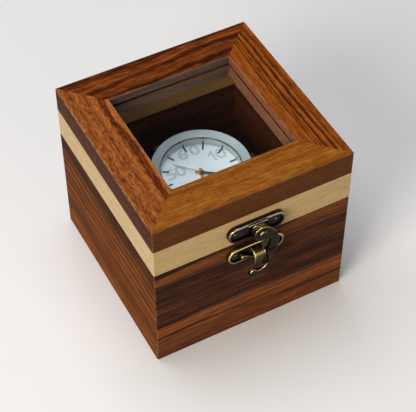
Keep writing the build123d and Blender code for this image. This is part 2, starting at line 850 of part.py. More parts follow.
keeper_inner_width = strap_width + 2 * soft_gap
keeper_inner_height = wrap_z - tail_z + strap_thickness + 2 * soft_gap
with BuildPart() as strap_keeper:
    with BuildSketch(Plane.XZ.offset(strap_overlap / 2)):
        with Locations((0, (wrap_z + tail_z) / 2)):
            Rectangle(
                keeper_inner_width + 2 * keeper_thickness, keeper_inner_height + 2 * keeper_thickness
            )
            Rectangle(keeper_inner_width, keeper_inner_height, mode=Mode.SUBTRACT)
    extrude(amount=keeper_width)
save(strap_keeper, "strap_keeper")
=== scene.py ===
import math

import bmesh
import bpy
import numpy as np
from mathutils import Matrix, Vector


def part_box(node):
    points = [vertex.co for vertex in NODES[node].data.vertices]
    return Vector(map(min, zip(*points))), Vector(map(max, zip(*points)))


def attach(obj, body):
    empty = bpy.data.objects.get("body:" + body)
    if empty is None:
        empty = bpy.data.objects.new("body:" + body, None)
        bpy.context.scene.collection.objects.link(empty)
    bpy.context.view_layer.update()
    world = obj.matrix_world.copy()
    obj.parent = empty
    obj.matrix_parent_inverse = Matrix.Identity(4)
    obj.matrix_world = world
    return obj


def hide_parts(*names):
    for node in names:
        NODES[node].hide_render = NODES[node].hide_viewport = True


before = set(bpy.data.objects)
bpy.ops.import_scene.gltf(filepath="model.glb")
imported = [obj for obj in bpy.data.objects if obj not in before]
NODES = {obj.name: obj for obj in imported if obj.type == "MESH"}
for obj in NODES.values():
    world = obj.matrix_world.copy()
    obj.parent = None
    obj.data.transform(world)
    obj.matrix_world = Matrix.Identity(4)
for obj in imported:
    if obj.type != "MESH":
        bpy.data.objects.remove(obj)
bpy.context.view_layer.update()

# Glass-topped rosewood display box with a strapped watch on a cushion. It stands on z = 0 with its latch
# towards -Y. Shapes are worked out in millimetres and written to the meshes in metres.
MM = 0.001
X, Y, Z = (1, 0, 0), (0, 1, 0), (0, 0, 1)


def extent(node):
    """Lowest and highest corner of a CAD node, in millimetres."""
    low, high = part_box(node)
    return np.array(low) / MM, np.array(high) / MM


# ======== meshes
def new_object(name, data):
    """An object of this data in the scene."""
    added = bpy.data.objects.new(name, data)
    bpy.context.collection.objects.link(added)
    return added


def link_mesh(name, points, faces, smooth=True):
    """An object at the origin from points in millimetres and index faces."""
    mesh = bpy.data.meshes.new(name)
    mesh.from_pydata((np.asarray(points) * MM).tolist(), [], [list(map(int, f)) for f in faces])
    mesh.polygons.foreach_set("use_smooth", np.full(len(mesh.polygons), smooth))
    mesh.update()
    return new_object(name, mesh)


def grid_faces(rows, columns, wrap_rows=False, wrap_columns=False, start=0):
    """Quads between neighbouring rows and columns of a grid whose points are numbered row by row."""
    i = np.arange(rows if wrap_rows else rows - 1)[:, None]
    j = np.arange(columns if wrap_columns else columns - 1)[None, :]
    i2, j2 = (i + 1) % rows, (j + 1) % columns
    corners = [i * columns + j, i2 * columns + j, i2 * columns + j2, i * columns + j2]
    quads = np.stack(np.broadcast_arrays(*corners), -1)
    return quads.reshape(-1, 4) + start


def bulged(value, power):
    """A superellipse's coordinate: the size of value to a power, with its sign."""
    return np.sign(value) * np.abs(value) ** power


def full_turn(count):
    """Angles evenly spaced round a circle, the last one short of the first."""
    return np.linspace(0, 2 * np.pi, count, endpoint=False)


def distance_along(line):
    """Distance from a line's first point to each of its points, along the line."""
    return np.concatenate([[0], np.cumsum(np.linalg.norm(np.diff(line, axis=0), axis=1))])


def evaluated_copy(piece):
    """The piece's mesh with its modifiers applied, as a new mesh."""
    graph = bpy.context.evaluated_depsgraph_get()
    graph.update()
    return bpy.data.meshes.new_from_object(piece.evaluated_get(graph))


def remesh(piece, voxel):
    """Give the piece an even mesh of its own shape, voxel millimetres fine, with smooth shading."""
    even = piece.modifiers.new("even", "REMESH")
    even.mode = "VOXEL"
    even.voxel_size = voxel * MM
    mesh = evaluated_copy(piece)
    piece.modifiers.clear()
    piece.data = mesh
    mesh.polygons.foreach_set("use_smooth", np.ones(len(mesh.polygons), dtype=bool))
    return mesh


def read(items, field, width, kind=float):
    """A field of all vertices or edges as an array with a row for each, width numbers wide."""
    flat = np.empty(len(items) * width, dtype=kind)
    items.foreach_get(field, flat)
    return flat.reshape(-1, width)


def mesh_points(mesh):
    """Vertex places in millimetres."""
    return read(mesh.vertices, "co", 3) / MM


def set_points(mesh, points):
    """Write vertex places given in millimetres."""
    mesh.vertices.foreach_set("co", (points * MM).ravel())
    mesh.update()


def relax(points, edges, rounds, step):
    """Move each point by step towards the mean of its neighbours, that many times."""
    ends = np.concatenate([edges, edges[:, ::-1]])
    count = np.bincount(ends[:, 0], minlength=len(points))[:, None]
    for _ in range(rounds):
        total = [np.bincount(ends[:, 0], column[ends[:, 1]], minlength=len(points)) for column in points.T]
        points = points + step * (np.stack(total, -1) / np.maximum(count, 1) - points)
    return points


def finish_piece(piece, body, material):
    """Ride a new piece on its body, with its material."""
    piece.data.materials.clear()
    piece.data.materials.append(material)
    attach(piece, body)


def closed_piece(name, points, faces, material, node=None):
    """A closed piece of the case, its faces turned outwards, in the place of a CAD node if one is named."""
    piece = link_mesh(name, points, faces)
    shape = bmesh.new()
    shape.from_mesh(piece.data)
    bmesh.ops.recalc_face_normals(shape, faces=shape.faces)
    shape.to_mesh(piece.data)
    shape.free()
    if node:
        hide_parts(node)
    finish_piece(piece, "case", material)
    return piece


def dress(node, material):
    """Give a CAD node its finish."""
    for held in NODES[node].material_slots:
        held.material = material
    if not NODES[node].material_slots:
        NODES[node].data.materials.append(material)


# ======== shader nodes
def linear(hex_colour):
    """A hex sRGB colour as linear red, green, blue and alpha."""
    values = [int(hex_colour[i:i + 2], 16) / 255 for i in (1, 3, 5)]
    return tuple(v / 12.92 if v <= 0.04045 else ((v + 0.055) / 1.055) ** 2.4 for v in values) + (1.0,)


def put(tree, kind, inputs=(), operation=None, out=0, stops=None, **settings):
    """Add a shader node with its settings and links, and give its output out.

    Its inputs come in order, or by name or number, each a socket to link or a plain value. A ramp's
    stops are (place, colour).
    """
    added = tree.nodes.new(f"ShaderNode{kind}")
    if operation:
        added.operation = operation
    for key, value in settings.items():
        setattr(added, key, value)
    for key, value in inputs.items() if isinstance(inputs, dict) else enumerate(inputs):
        if isinstance(value, bpy.types.NodeSocket):
            tree.links.new(value, added.inputs[key])
        else:
            added.inputs[key].default_value = value
    if stops:
        ramp = added.color_ramp
        ramp.elements[0].position, ramp.elements[0].color = stops[0]
        ramp.elements[1].position, ramp.elements[1].color = stops[-1]
        for place, colour in stops[1:-1]:
            ramp.elements.new(place).color = colour
    return added.outputs[out] if added.outputs else None


def empty_material(name):
    """A node material with nothing in it yet, and its tree."""
    material = bpy.data.materials.new(name)
    material.use_nodes = True
    material.node_tree.nodes.clear()
    return material, material.node_tree


def new_material(name):
    """A node material, its tree and its object coordinates, which place the pattern."""
    material, tree = empty_material(name)
    return material, tree, put(tree, "TexCoord", out="Object")


def close_material(material, sockets, height=None, depth=0.0, strength=0.0, invert=False):
    """End a material in a principled shader with these sockets, bumped by height, depth mm deep."""
    tree = material.node_tree
    if height is not None:
        relief = {"Strength": strength, "Distance": depth * MM, "Height": height}
        sockets = {**sockets, "Normal": put(tree, "Bump", relief, invert=invert)}
    put(tree, "OutputMaterial", [put(tree, "BsdfPrincipled", sockets)])
    return material


def centred(tree, value, amount, base):
    """base plus amount times the value's departure from one half."""
    shifted = put(tree, "Math", (value, -0.5), "ADD")
    return put(tree, "Math", (shifted, amount, base), "MULTIPLY_ADD")


def along_axis(tree, place, axis):
    """How far a point lies along an axis, in millimetres."""
    return put(tree, "VectorMath", (place, tuple(c / MM for c in axis)), "DOT_PRODUCT", out="Value")


def past_plane(tree, place, axis, start):
    """1 where a point lies further than start millimetres along an axis, else 0."""
    return put(tree, "Math", (along_axis(tree, place, axis), start), "GREATER_THAN")


def mottled(tree, hex_colour, *variations):
    """A colour whose lightness varies round one by each (noise, amount)."""
    shade = 1.0
    for noise, amount in variations:
        shade = centred(tree, noise, amount, shade)
    return put(tree, "VectorMath", {0: linear(hex_colour)[:3], "Scale": shade}, "SCALE")


# ======== camera, floor and lamps
# The camera's distance and target are in metres; its sensor, its lens and the floor in millimetres.
VIEW_AZIMUTH = math.radians(-28.156)
VIEW_ELEVATION = math.radians(48.636)
VIEW_DISTANCE = 0.6363
VIEW_TARGET = Vector((-0.00045, -0.00727, 0.040))
SENSOR_WIDTH = 36.0
FOCAL_LENGTH = 115.49
FLOOR_HALF = 3000.0
# Strength of the surroundings as the object gets it, low down and overhead, and the sines of the
# elevations between which one turns into the other.
WALL_LIGHT = 0.36
CEILING_LIGHT = 0.03
WALL_TOP = 0.15
CEILING_FOOT = 0.6
# Each lamp: place, target, width and height in metres, watts, colour. A large soft key from the upper
# left, a top light and a weak front fill.
LAMPS = {
    "key": ((-1.0, -0.5, 0.75), (0, 0, 0.05), 0.6, 0.6, 12.0, "#fff6ea"),
    "top": ((-0.1, 0.3, 1.15), (0, 0, 0.08), 0.9, 0.9, 9.5, "#f8f9ff"),
    "fill": ((0.25, -1.2, 0.55), (0, 0, 0.04), 0.8, 0.5, 2.3, "#ffe8d0"),
}


def stand(name, data, place, target):
    """An object of this data at place, with its -Z axis towards target."""
    stood = new_object(name, data)
    stood.location = place
    stood.rotation_euler = (Vector(target) - Vector(place)).to_track_quat("-Z", "Y").to_euler()
    return stood


def make_camera():
    """Camera on the sphere round the target, at the azimuth and elevation above."""
    data = bpy.data.cameras.new("camera")
    data.sensor_width = SENSOR_WIDTH
    data.lens = FOCAL_LENGTH
    data.clip_start = 0.05
    data.clip_end = 20.0
    towards = Vector((
        math.sin(VIEW_AZIMUTH) * math.cos(VIEW_ELEVATION),
        -math.cos(VIEW_AZIMUTH) * math.cos(VIEW_ELEVATION),
        math.sin(VIEW_ELEVATION),
    ))
    bpy.context.scene.camera = stand("camera", data, VIEW_TARGET + towards * VIEW_DISTANCE, VIEW_TARGET)


def seen_directly(tree):
    """1 for camera rays and for rays that metal or glass sends on, 0 for the light that a surface gets."""
    rays = put(tree, "LightPath").node.outputs
    sent_on = put(tree, "Math", (rays["Is Glossy Ray"], rays["Is Transmission Ray"]), "MAXIMUM")
    return put(tree, "Math", (rays["Is Camera Ray"], sent_on), "MAXIMUM")


def make_floor():
    """A wide square of paper at z = 0."""
    corners = np.array([(-1, -1, 0), (1, -1, 0), (1, 1, 0), (-1, 1, 0)]) * FLOOR_HALF
    floor = link_mesh("floor", corners, [(0, 1, 2, 3)], smooth=False)
    # Seamless background paper: matt and pale to the eye. It throws a little less light on the object.
    material, tree = empty_material("floor_paper")
    paper = put(tree, "Mix", {
        0: seen_directly(tree), 6: linear("#9c9c9c"), 7: linear("#efefee"),
    }, out=2, data_type="RGBA")
    floor.data.materials.append(close_material(material, {"Base Color": paper, "Roughness": 0.9}))


def make_world():
    """Light walls under a dark ceiling, so that glass seen from above stays clear.

    The walls are white to the eye and in reflections, and throw less light than that on the object.
    """
    world = bpy.data.worlds.new("studio")
    world.use_nodes = True
    tree = world.node_tree
    tree.nodes.clear()
    direction = put(tree, "TexCoord", out="Generated")
    height = put(tree, "SeparateXYZ", [direction], out="Z")
    walls = put(tree, "MapRange", {
        "Value": seen_directly(tree), "To Min": WALL_LIGHT, "To Max": 1.0,
    })
    strength = put(tree, "MapRange", {
        "Value": height, "From Min": WALL_TOP, "From Max": CEILING_FOOT, "To Min": walls,
        "To Max": CEILING_LIGHT,
    })
    sky = put(tree, "Background", {"Color": linear("#e4eaf2"), "Strength": strength})
    put(tree, "OutputWorld", [sky])
    bpy.context.scene.world = world
    bpy.context.scene.view_settings.view_transform = "Standard"


def make_lamps():
    """Rectangular area lamps from the list above."""
    for name, (place, target, width, height, watts, colour) in LAMPS.items():
        data = bpy.data.lights.new(name, "AREA")
        data.shape = "RECTANGLE"
        data.size, data.size_y = width, height
        data.energy = watts
        data.color = linear(colour)[:3]
        stand(name, data, place, target)


make_camera()
make_floor()
make_world()
make_lamps()


# ======== timber
HALF_WIDTH = extent("wall_front")[1][0]
LID_TOP = extent("frame_rail_front")[1][2]
RAIL_INSIDE = extent("frame_rail_left")[1][0]
RAIL_WIDTH = HALF_WIDTH + RAIL_INSIDE
# Planes that part a board's sides from its face, each FACE_SKIN in from the side. Past them a side
# takes painted shade, and a rail's inner side painted reflection.
FACE_SKIN = 0.15
WINDOW_EDGE = RAIL_INSIDE - FACE_SKIN
WELL_EDGE = extent("wall_left")[1][0] - FACE_SKIN
OUTER_EDGE = HALF_WIDTH - FACE_SKIN
# Width and colour of the painted highlight along the arrises.
ARRIS_WIDTH = 0.45
ARRIS_HIGHLIGHT_COLOUR = "#b98f6c"
# Painted shade on the walls' and the bands' inner sides, inside the box: its colour and its share there.
WALL_INSIDE_SHADE = ("#36160a", 0.75)
BAND_INSIDE_SHADE = ("#7a4418", 0.75)
# Where one figure of a board gives way to another, along the board from its middle.
CHANGE_START, CHANGE_END = -30.0, 30.0


def spread_out(tree, noise):
    """Noise gathers round one half: this stretches its middle to fill 0 to 1."""
    return put(tree, "MapRange", {"Value": noise, "From Min": 0.28, "From Max": 0.72})


def stretched_noise(tree, axes, lengths, seed, detail, roughness=0.5):
    """Noise whose features are about lengths millimetres long along each board axis."""
    scaled = [
        put(tree, "Math", (axis, 1 / length, seed), "MULTIPLY_ADD")
        for axis, length in zip(axes, lengths)
    ]
    return spread_out(tree, put(tree, "TexNoise", {
        "Vector": put(tree, "CombineXYZ", scaled), "Scale": 1.0, "Detail": detail,
        "Roughness": roughness,
    }))


def wood_tones(dark, middle, bright):
    """Colours of one board as ramp stops, from darkest streak to palest: its own three and both ends."""
    shades = [np.array(linear(c)[:3]) for c in (dark, middle, bright)]
    shades = [shades[0] * 0.55, *shades, shades[2] * 1.35]
    return [(place, (*shade, 1.0)) for place, shade in zip((0.0, 0.25, 0.5, 0.75, 1.0), shades)]


def pale_tones(middle):
    """Colours of close-grained pale wood as ramp stops: its middle colour with little contrast."""
    factors = [(0.0, (0.60, 0.55, 0.46)), (0.5, (1.0, 1.0, 1.0)), (1.0, (1.14, 1.17, 1.22))]
    base = np.array(linear(middle)[:3])
    return [(place, (*(base * factor), 1.0)) for place, factor in factors]


def near_arris(tree, place):
    """1 within ARRIS_WIDTH of an outer edge of the box or of the window's upper edge, else 0.

    Of the distances inwards from the sides, from the front and back and from the top, the middle one
    is small only near a line where two of these faces meet. The window's edge lies a rail's width in
    from the nearest side.
    """
    across, deep, up = put(tree, "SeparateXYZ", [place]).node.outputs
    side, front = [
        put(tree, "Math", (put(tree, "Math", [part], "ABSOLUTE"), -1 / MM, HALF_WIDTH), "MULTIPLY_ADD")
        for part in (across, deep)
    ]
    top = put(tree, "Math", (up, -1 / MM, LID_TOP), "MULTIPLY_ADD")
    lesser, greater = [put(tree, "Math", (side, front), pick) for pick in ("MINIMUM", "MAXIMUM")]
    nearer = put(tree, "Math", (greater, top), "MINIMUM")
    outer = put(tree, "Math", (lesser, nearer), "MAXIMUM")
    past_rail = put(tree, "Math", (lesser, RAIL_WIDTH), "SUBTRACT")
    beside = put(tree, "Math", [past_rail], "ABSOLUTE")
    window = put(tree, "Math", (beside, top), "MAXIMUM")
    nearest = put(tree, "Math", (outer, window), "MINIMUM")
    return put(tree, "Math", (nearest, ARRIS_WIDTH), "LESS_THAN")


def board_profile(tree, line, figure):
    """Tone across the board from a list of (distance in mm, tone)."""
    low, high = figure[0][0], figure[-1][0]
    share = put(tree, "MapRange", {"Value": line, "From Min": low, "From Max": high})
    stops = [((place - low) / (high - low), (tone, tone, tone, 1.0)) for place, tone in figure]
    return put(tree, "ValToRGB", [share], stops=stops)


def timber(
    name, along, across, offset, figure, palette, seed, far_figure=None, wander=3.0, ring=0.4, ring_width=2.0,
    mottle=0.3, cloud_size=1.0, fibres=0.3, grain_length=1.0, pores=0.45, tilt=0.0, zones=(), wear_and_highlight=0.0,
    roughness=0.36, shine=0.03,
):
    """Oiled and waxed wood. A tone from 0, dark heartwood streak, to 1, pale streak, picks the colour.

    The tone is the board's own figure, a profile across the board, which wanders from side to side
    along the grain, plus irregular growth rings, plus mottle. Fibres and pores are laid over it.
    far_figure takes over from figure towards the board's far end. A zone is (axis, start, colour, share):
    past that plane a side takes part of that colour: painted shade, and on a rail's inner side painted
    reflection. The arris share is that of a pale painted highlight on the arrises, broken up by the mottle
    like wear. Sizes of streaks, clouds, fibres and pores are in millimetres along, across and through.
    """
    material, tree, place = new_material(name)
    through = Vector(along).cross(Vector(across)).normalized()
    # u runs along the grain and v across the figure, both in millimetres.
    u = along_axis(tree, place, along)
    v = put(tree, "Math", (along_axis(tree, place, across), offset), "ADD")
    axes = (u, v, along_axis(tree, place, through))
    drift = stretched_noise(tree, axes, (46.0, 22.0, 22.0), seed, 2.0)
    ripple = stretched_noise(tree, axes, (13.0, 5.0, 9.0), seed + 7.3, 2.0)
    line = put(tree, "Math", (u, tilt, v), "MULTIPLY_ADD")
    line = centred(tree, ripple, wander * 0.22, centred(tree, drift, wander, line))

    profile = board_profile(tree, line, figure)
    if far_figure:
        change = put(tree, "MapRange", {"Value": u, "From Min": CHANGE_START, "From Max": CHANGE_END})
        far = board_profile(tree, line, far_figure)
        profile = put(tree, "Mix", {0: change, 6: profile, 7: far}, out=2, data_type="RGBA")
    ring_place = put(tree, "Math", (line, 1 / ring_width, seed), "MULTIPLY_ADD")
    rings = spread_out(tree, put(tree, "TexNoise", {
        "W": ring_place, "Scale": 1.0, "Detail": 3.0, "Roughness": 0.62,
    }, noise_dimensions="1D"))
    cloud_lengths = [c * cloud_size for c in (9.0 * grain_length, 2.6, 4.0)]
    cloud = stretched_noise(tree, axes, cloud_lengths, seed + 3.1, 4.0, 0.6)
    fibre = stretched_noise(tree, axes, (6.0 * grain_length, 0.5, 0.8), seed + 1.7, 3.0, 0.6)
    vessel = stretched_noise(tree, axes, (2.4 * grain_length, 0.45, 0.6), seed + 5.9, 1.0)
    tone = profile
    for layer, amount in ((rings, ring), (cloud, mottle), (fibre, fibres)):
        tone = centred(tree, layer, amount, tone)
    colour = put(tree, "ValToRGB", [tone], stops=palette)
    # Painted shade and painted reflection on the sides past each zone's plane.
    regions = [(past_plane(tree, place, axis, start), shade, share) for axis, start, shade, share in zones]
    # A pale painted highlight along the arrises, broken up by the mottle like wear.
    if wear_and_highlight:
        arris_highlight = put(tree, "Math", (near_arris(tree, place), cloud), "MULTIPLY")
        regions.append((arris_highlight, ARRIS_HIGHLIGHT_COLOUR, wear_and_highlight))
    for region, shade, share in regions:
        part = put(tree, "Math", (region, share), "MULTIPLY")
        colour = put(tree, "Mix", {0: part, 6: colour, 7: linear(shade)}, out=2, data_type="RGBA")
    pore = put(tree, "MapRange", {"Value": vessel, "From Min": 0.70, "From Max": 0.88})
    shade = put(tree, "Math", (pore, -pores, 1.0), "MULTIPLY_ADD")
    darkened = put(tree, "VectorMath", {0: colour, "Scale": shade}, "SCALE")
    height = put(tree, "Math", (pore, -0.6, fibre), "MULTIPLY_ADD")
    return close_material(material, {
        "Base Color": darkened, "Roughness": roughness, "IOR": 1.5, "Specular IOR Level": shine,
    }, height, 0.05, 0.3)


# Each figure is a list of (distance across the board in mm, tone). On a rail the distance runs from
# the foot of its outer side, below zero, over the outer edge at zero, to the window. Below zero the
# tones run darker than on the top: painted shade on the outer side, over the wood's own streaks.
LEFT_RAIL = [
    (-12.8, 0.22), (-10.0, 0.40), (-8.6, 0.24), (-6.2, 0.42), (-3.2, 0.18), (-1.2, 0.30), (0.5, 0.62),
    (3.0, 0.50), (6.5, 0.60), (9.5, 0.46), (11.5, 0.66), (13.4, 0.55), (14.6, 0.20), (15.4, 0.36),
    (16.4, 0.16), (17.4, 0.70), (18.7, 0.62),
]
BACK_RAIL = [
    (-12.8, 0.30), (-1.0, 0.30), (0.6, 0.48), (2.2, 0.22), (3.4, 0.55), (6.5, 0.68), (9.2, 0.40),
    (10.4, 0.24), (11.6, 0.60), (15.0, 0.58), (17.0, 0.36), (18.7, 0.50),
]
RIGHT_RAIL = [
    (-12.8, 0.30), (-1.0, 0.32), (0.8, 0.55), (3.0, 0.50), (3.6, 0.24), (4.2, 0.55), (5.5, 0.48),
    (6.1, 0.20), (6.8, 0.56), (8.3, 0.48), (8.9, 0.24), (9.6, 0.50), (11.7, 0.46), (12.3, 0.30),
    (13.0, 0.56), (16.0, 0.50), (18.7, 0.56),
]
FRONT_RAIL = [
    (-12.8, 0.36), (-6.0, 0.48), (-1.0, 0.42), (0.4, 0.50), (5.0, 0.58), (9.0, 0.50), (12.0, 0.56),
    (15.0, 0.46), (18.7, 0.54),
]
# On a wall the distance is the height above the underside. The front wall has one figure at its left
# end and another at its right. The left figure's dark run from about 25 to 54 mm up is partly the
# wood's streaks and partly painted shadow of the latch.
FRONT_WALL = [
    (0.0, 0.44), (4.0, 0.54), (9.0, 0.56), (14.5, 0.62), (15.8, 0.20), (17.0, 0.58), (20.0, 0.70),
    (23.5, 0.60), (25.5, 0.24), (27.5, 0.40), (32.0, 0.28), (38.0, 0.36), (44.0, 0.26), (53.5, 0.24),
    (55.5, 0.60), (59.5, 0.66), (60.8, 0.15), (62.5, 0.12),
]
FRONT_WALL_RIGHT = [
    (0.0, 0.46), (6.0, 0.60), (9.5, 0.56), (11.0, 0.20), (12.5, 0.60), (17.0, 0.68), (21.0, 0.54),
    (23.0, 0.30), (28.0, 0.24), (31.0, 0.40), (35.0, 0.22), (40.0, 0.34), (44.0, 0.44), (48.0, 0.26),
    (52.0, 0.34), (55.0, 0.50), (59.0, 0.58), (62.5, 0.50),
]
LEFT_WALL = [
    (0.0, 0.50), (4.0, 0.58), (9.0, 0.56), (13.0, 0.44), (19.0, 0.40), (24.0, 0.50), (28.0, 0.42),
    (31.0, 0.60), (33.5, 0.36), (36.0, 0.58), (39.0, 0.34), (41.5, 0.62), (44.0, 0.32), (46.5, 0.58),
    (48.5, 0.34), (51.0, 0.50), (54.0, 0.28), (58.0, 0.32), (62.5, 0.20),
]
BACK_WALL = [
    (0.0, 0.40), (9.0, 0.58), (15.0, 0.26), (20.0, 0.52), (31.0, 0.60), (35.0, 0.24), (41.0, 0.50),
    (50.0, 0.34), (56.0, 0.54), (62.5, 0.30),
]
PLAIN = [(0.0, 0.5), (100.0, 0.5)]

# Each side of the box: along its grain, inwards and outwards.
SIDES = {
    "front": (X, Y, (0, -1, 0)), "right": (Y, (-1, 0, 0), X),
    "back": (X, (0, -1, 0), Y), "left": (Y, X, (-1, 0, 0)),
}
# Each rail: its three colours, its figure, the colour and share of painted reflection on its inner side
# and of painted shade on its outer side, its share of painted highlight on the arrises, its seed and its
# own measures.
RAILS = {
    "front": (
        ("#5c300e", "#864c15", "#ae722c"), FRONT_RAIL, ("#6a4a3a", 0.6), ("#5e371f", 0.7), 0.15, 3.0,
        dict(wander=2.2, ring=0.14, mottle=0.22, fibres=0.22, pores=0.35),
    ),
    "right": (
        ("#44200c", "#87420f", "#a46024"), RIGHT_RAIL, ("#80594a", 0.6), ("#6b4128", 0.5), 0.50, 11.0,
        dict(wander=1.6, ring=0.28, mottle=0.24, fibres=0.34, pores=0.5),
    ),
    "back": (
        ("#36180c", "#5e2b0b", "#8a4618"), BACK_RAIL, ("#5f5652", 0.7), ("#5a3422", 0.5), 0.30, 23.0,
        dict(wander=5.5, ring=0.34, mottle=0.34, fibres=0.30, pores=0.45, tilt=0.035),
    ),
    "left": (
        ("#5a2a14", "#864820", "#a9652c"), LEFT_RAIL, ("#6a4a3a", 0.6), ("#3c1d0d", 0.6), 0.60, 31.0,
        dict(wander=3.2, ring=0.16, mottle=0.46, fibres=0.36, pores=0.55, tilt=-0.01, cloud_size=0.42,
             grain_length=0.8, shine=0.008),
    ),
}
# Each wall: its three colours, its figure, its seed and its own measures.
WALLS = {
    "front": (
        ("#3a231c", "#704026", "#9e5c2e"), FRONT_WALL, 41.0,
        dict(far_figure=FRONT_WALL_RIGHT, wander=2.4, ring=0.24, mottle=0.24),
    ),
    "right": (
        ("#3a2016", "#75411d", "#a45e28"), BACK_WALL, 53.0,
        dict(wander=4.0, ring=0.22, mottle=0.26, tilt=-0.02),
    ),
    "back": (
        ("#3a2016", "#75411d", "#a45e28"), BACK_WALL, 61.0,
        dict(wander=4.5, ring=0.22, mottle=0.26, tilt=0.02),
    ),
    "left": (
        ("#38200f", "#784015", "#a96020"), LEFT_WALL, 71.0,
        dict(wander=2.0, ring=0.20, mottle=0.24, shine=0.01),
    ),
}
# Each side's band: its middle colour and its seed.
BANDS = {
    "front": ("#dcbd88", 81.0), "right": ("#e0bd85", 83.0),
    "back": ("#e0bd85", 87.0), "left": ("#dfc294", 89.0),
}


def dress_timber():
    """Rails, walls, band and bottom: each board is its own piece of wood."""
    # Indian rosewood, planed, oiled and waxed: orange-brown with purplish streaks and open pores, satin.
    # The front rail is a plainer, more golden board.
    for name, (tones, figure, inner, outer, wear_and_highlight, seed, options) in RAILS.items():
        along, inwards, outwards = SIDES[name]
        # Painted reflection on the inner side, painted shade on the outer side, painted highlight on the
        # arrises.
        dress(f"frame_rail_{name}", timber(
            f"rosewood_rail_{name}", along, (*inwards[:2], 1), HALF_WIDTH - LID_TOP, figure,
            wood_tones(*tones), seed, ring_width=1.6, wear_and_highlight=wear_and_highlight,
            zones=((inwards, WINDOW_EDGE, *inner), (outwards, OUTER_EDGE, *outer)), **options,
        ))
    # The walls are darker rosewood, oiled only, so they shine less.
    # Their inner sides take painted shade, and their arrises a painted highlight.
    for name, (tones, figure, seed, options) in WALLS.items():
        along, inwards, _ = SIDES[name]
        dress(f"wall_{name}", timber(
            f"rosewood_wall_{name}", along, Z, 0.0, figure, wood_tones(*tones), seed, ring_width=1.7,
            zones=((inwards, WELL_EDGE, *WALL_INSIDE_SHADE),), wear_and_highlight=0.25, fibres=0.24, grain_length=2.4,
            roughness=0.5, **options,
        ))
    # Maple: cream and close-grained, with fine short fibres and hardly a pore.
    for name, (middle, seed) in BANDS.items():
        # Their inner sides take painted shade.
        along, inwards, _ = SIDES[name]
        dress(f"band_{name}", timber(
            f"maple_band_{name}", along, Z, 0.0, PLAIN, pale_tones(middle), seed, wander=4.0, ring=0.22,
            mottle=0.25, fibres=0.45, pores=0.12, ring_width=3.0, roughness=0.5, shine=0.05,
            zones=((inwards, WELL_EDGE, *BAND_INSIDE_SHADE),),
        ))
    # Birch plywood, sanded and left raw: dull cream with a broad rotary-cut figure.
    dress("bottom_panel", timber(
        "birch_plywood", X, Y, 50.0, PLAIN, pale_tones("#c2a172"), 97.0, wander=12.0, ring=0.5, mottle=0.2,
        fibres=0.3, pores=0.15, ring_width=6.0, roughness=0.7, shine=0.2,
    ))


dress_timber()


# ======== brass
# A near neighbourhood finds a casting's edges and a wide one its dishes: rounds of smoothing, and the
# millimetres out or in that count as full.
NEAR_ROUNDS, NEAR_FULL = 10, 0.09
WIDE_ROUNDS, WIDE_FULL = 70, 0.9
RUB_ROUNDS = 6
RUB_GAIN = 1.3
# An edge that faces up gets this much more painted highlight. All that faces up is painted lighter
# too, as if lit from above, from 2 mm in front of the walls, and fully so from the reach below further out.
UPPER_EDGE_HIGHLIGHT = 0.75
UPPER_FACE_LIGHT = 0.24
LIT_FROM = extent("wall_front")[0][1] - 2.0
LIT_REACH = 4.0
SEAM = extent("wall_front")[1][2]


def rub_and_highlight_amount(points, normals, edges, polish, left_highlight, low_edge_light, shade_circle):
    """How much wear and painted light each point of a casting has: large on edges, below zero in hollows.

    It comes from how far a point stands out from its smoothed neighbourhood, along its normal. An edge
    is polished by polish. Painted highlight adds more where an edge faces up, and more by the next
    argument where it faces left; painted shade leaves the lowest edge only the share given after that.
    Inside the circle given last (x, z, radius) painted shade takes all of that away, and it comes back
    over one more radius. Faces that face up, away from the walls, get painted light too. The result is
    smoothed over the surface.
    """
    near, wide = [
        np.einsum("ij,ij->i", points - relax(points, edges, rounds, 0.5), normals) / full
        for rounds, full in ((NEAR_ROUNDS, NEAR_FULL), (WIDE_ROUNDS, WIDE_FULL))
    ]
    # Painted highlight: edges that face up and left are brighter, as if lit from there. Painted shade: low
    # edges keep less of it.
    polish_and_light = np.clip(polish + UPPER_EDGE_HIGHLIGHT * normals[:, 2] - left_highlight * normals[:, 0], 0.05, 1.0)
    height = (points[:, 2] - points[:, 2].min()) / np.ptp(points[:, 2])
    polish_and_light *= low_edge_light + (1.0 - low_edge_light) * height
    # Painted shade beside the tab: no edge highlight inside the circle.
    if shade_circle:
        distance = np.hypot(points[:, 0] - shade_circle[0], points[:, 2] - shade_circle[1])
        polish_and_light *= np.clip(distance / shade_circle[2] - 1.0, 0.0, 1.0)
    edge = np.clip(near, 0.0, 1.0)
    value = RUB_GAIN * edge * polish_and_light + np.minimum(near, 0.0) + np.clip(wide, -1.0, 0.0) * (1.0 - edge)
    # Painted light on faces that face up, away from the walls.
    stands_out = np.clip((LIT_FROM - points[:, 1]) / LIT_REACH, 0.0, 1.0)
    value += UPPER_FACE_LIGHT * np.maximum(normals[:, 2], 0.0) * stands_out
    return np.clip(relax(value[:, None], edges, RUB_ROUNDS, 0.5)[:, 0], -1.0, 1.0)


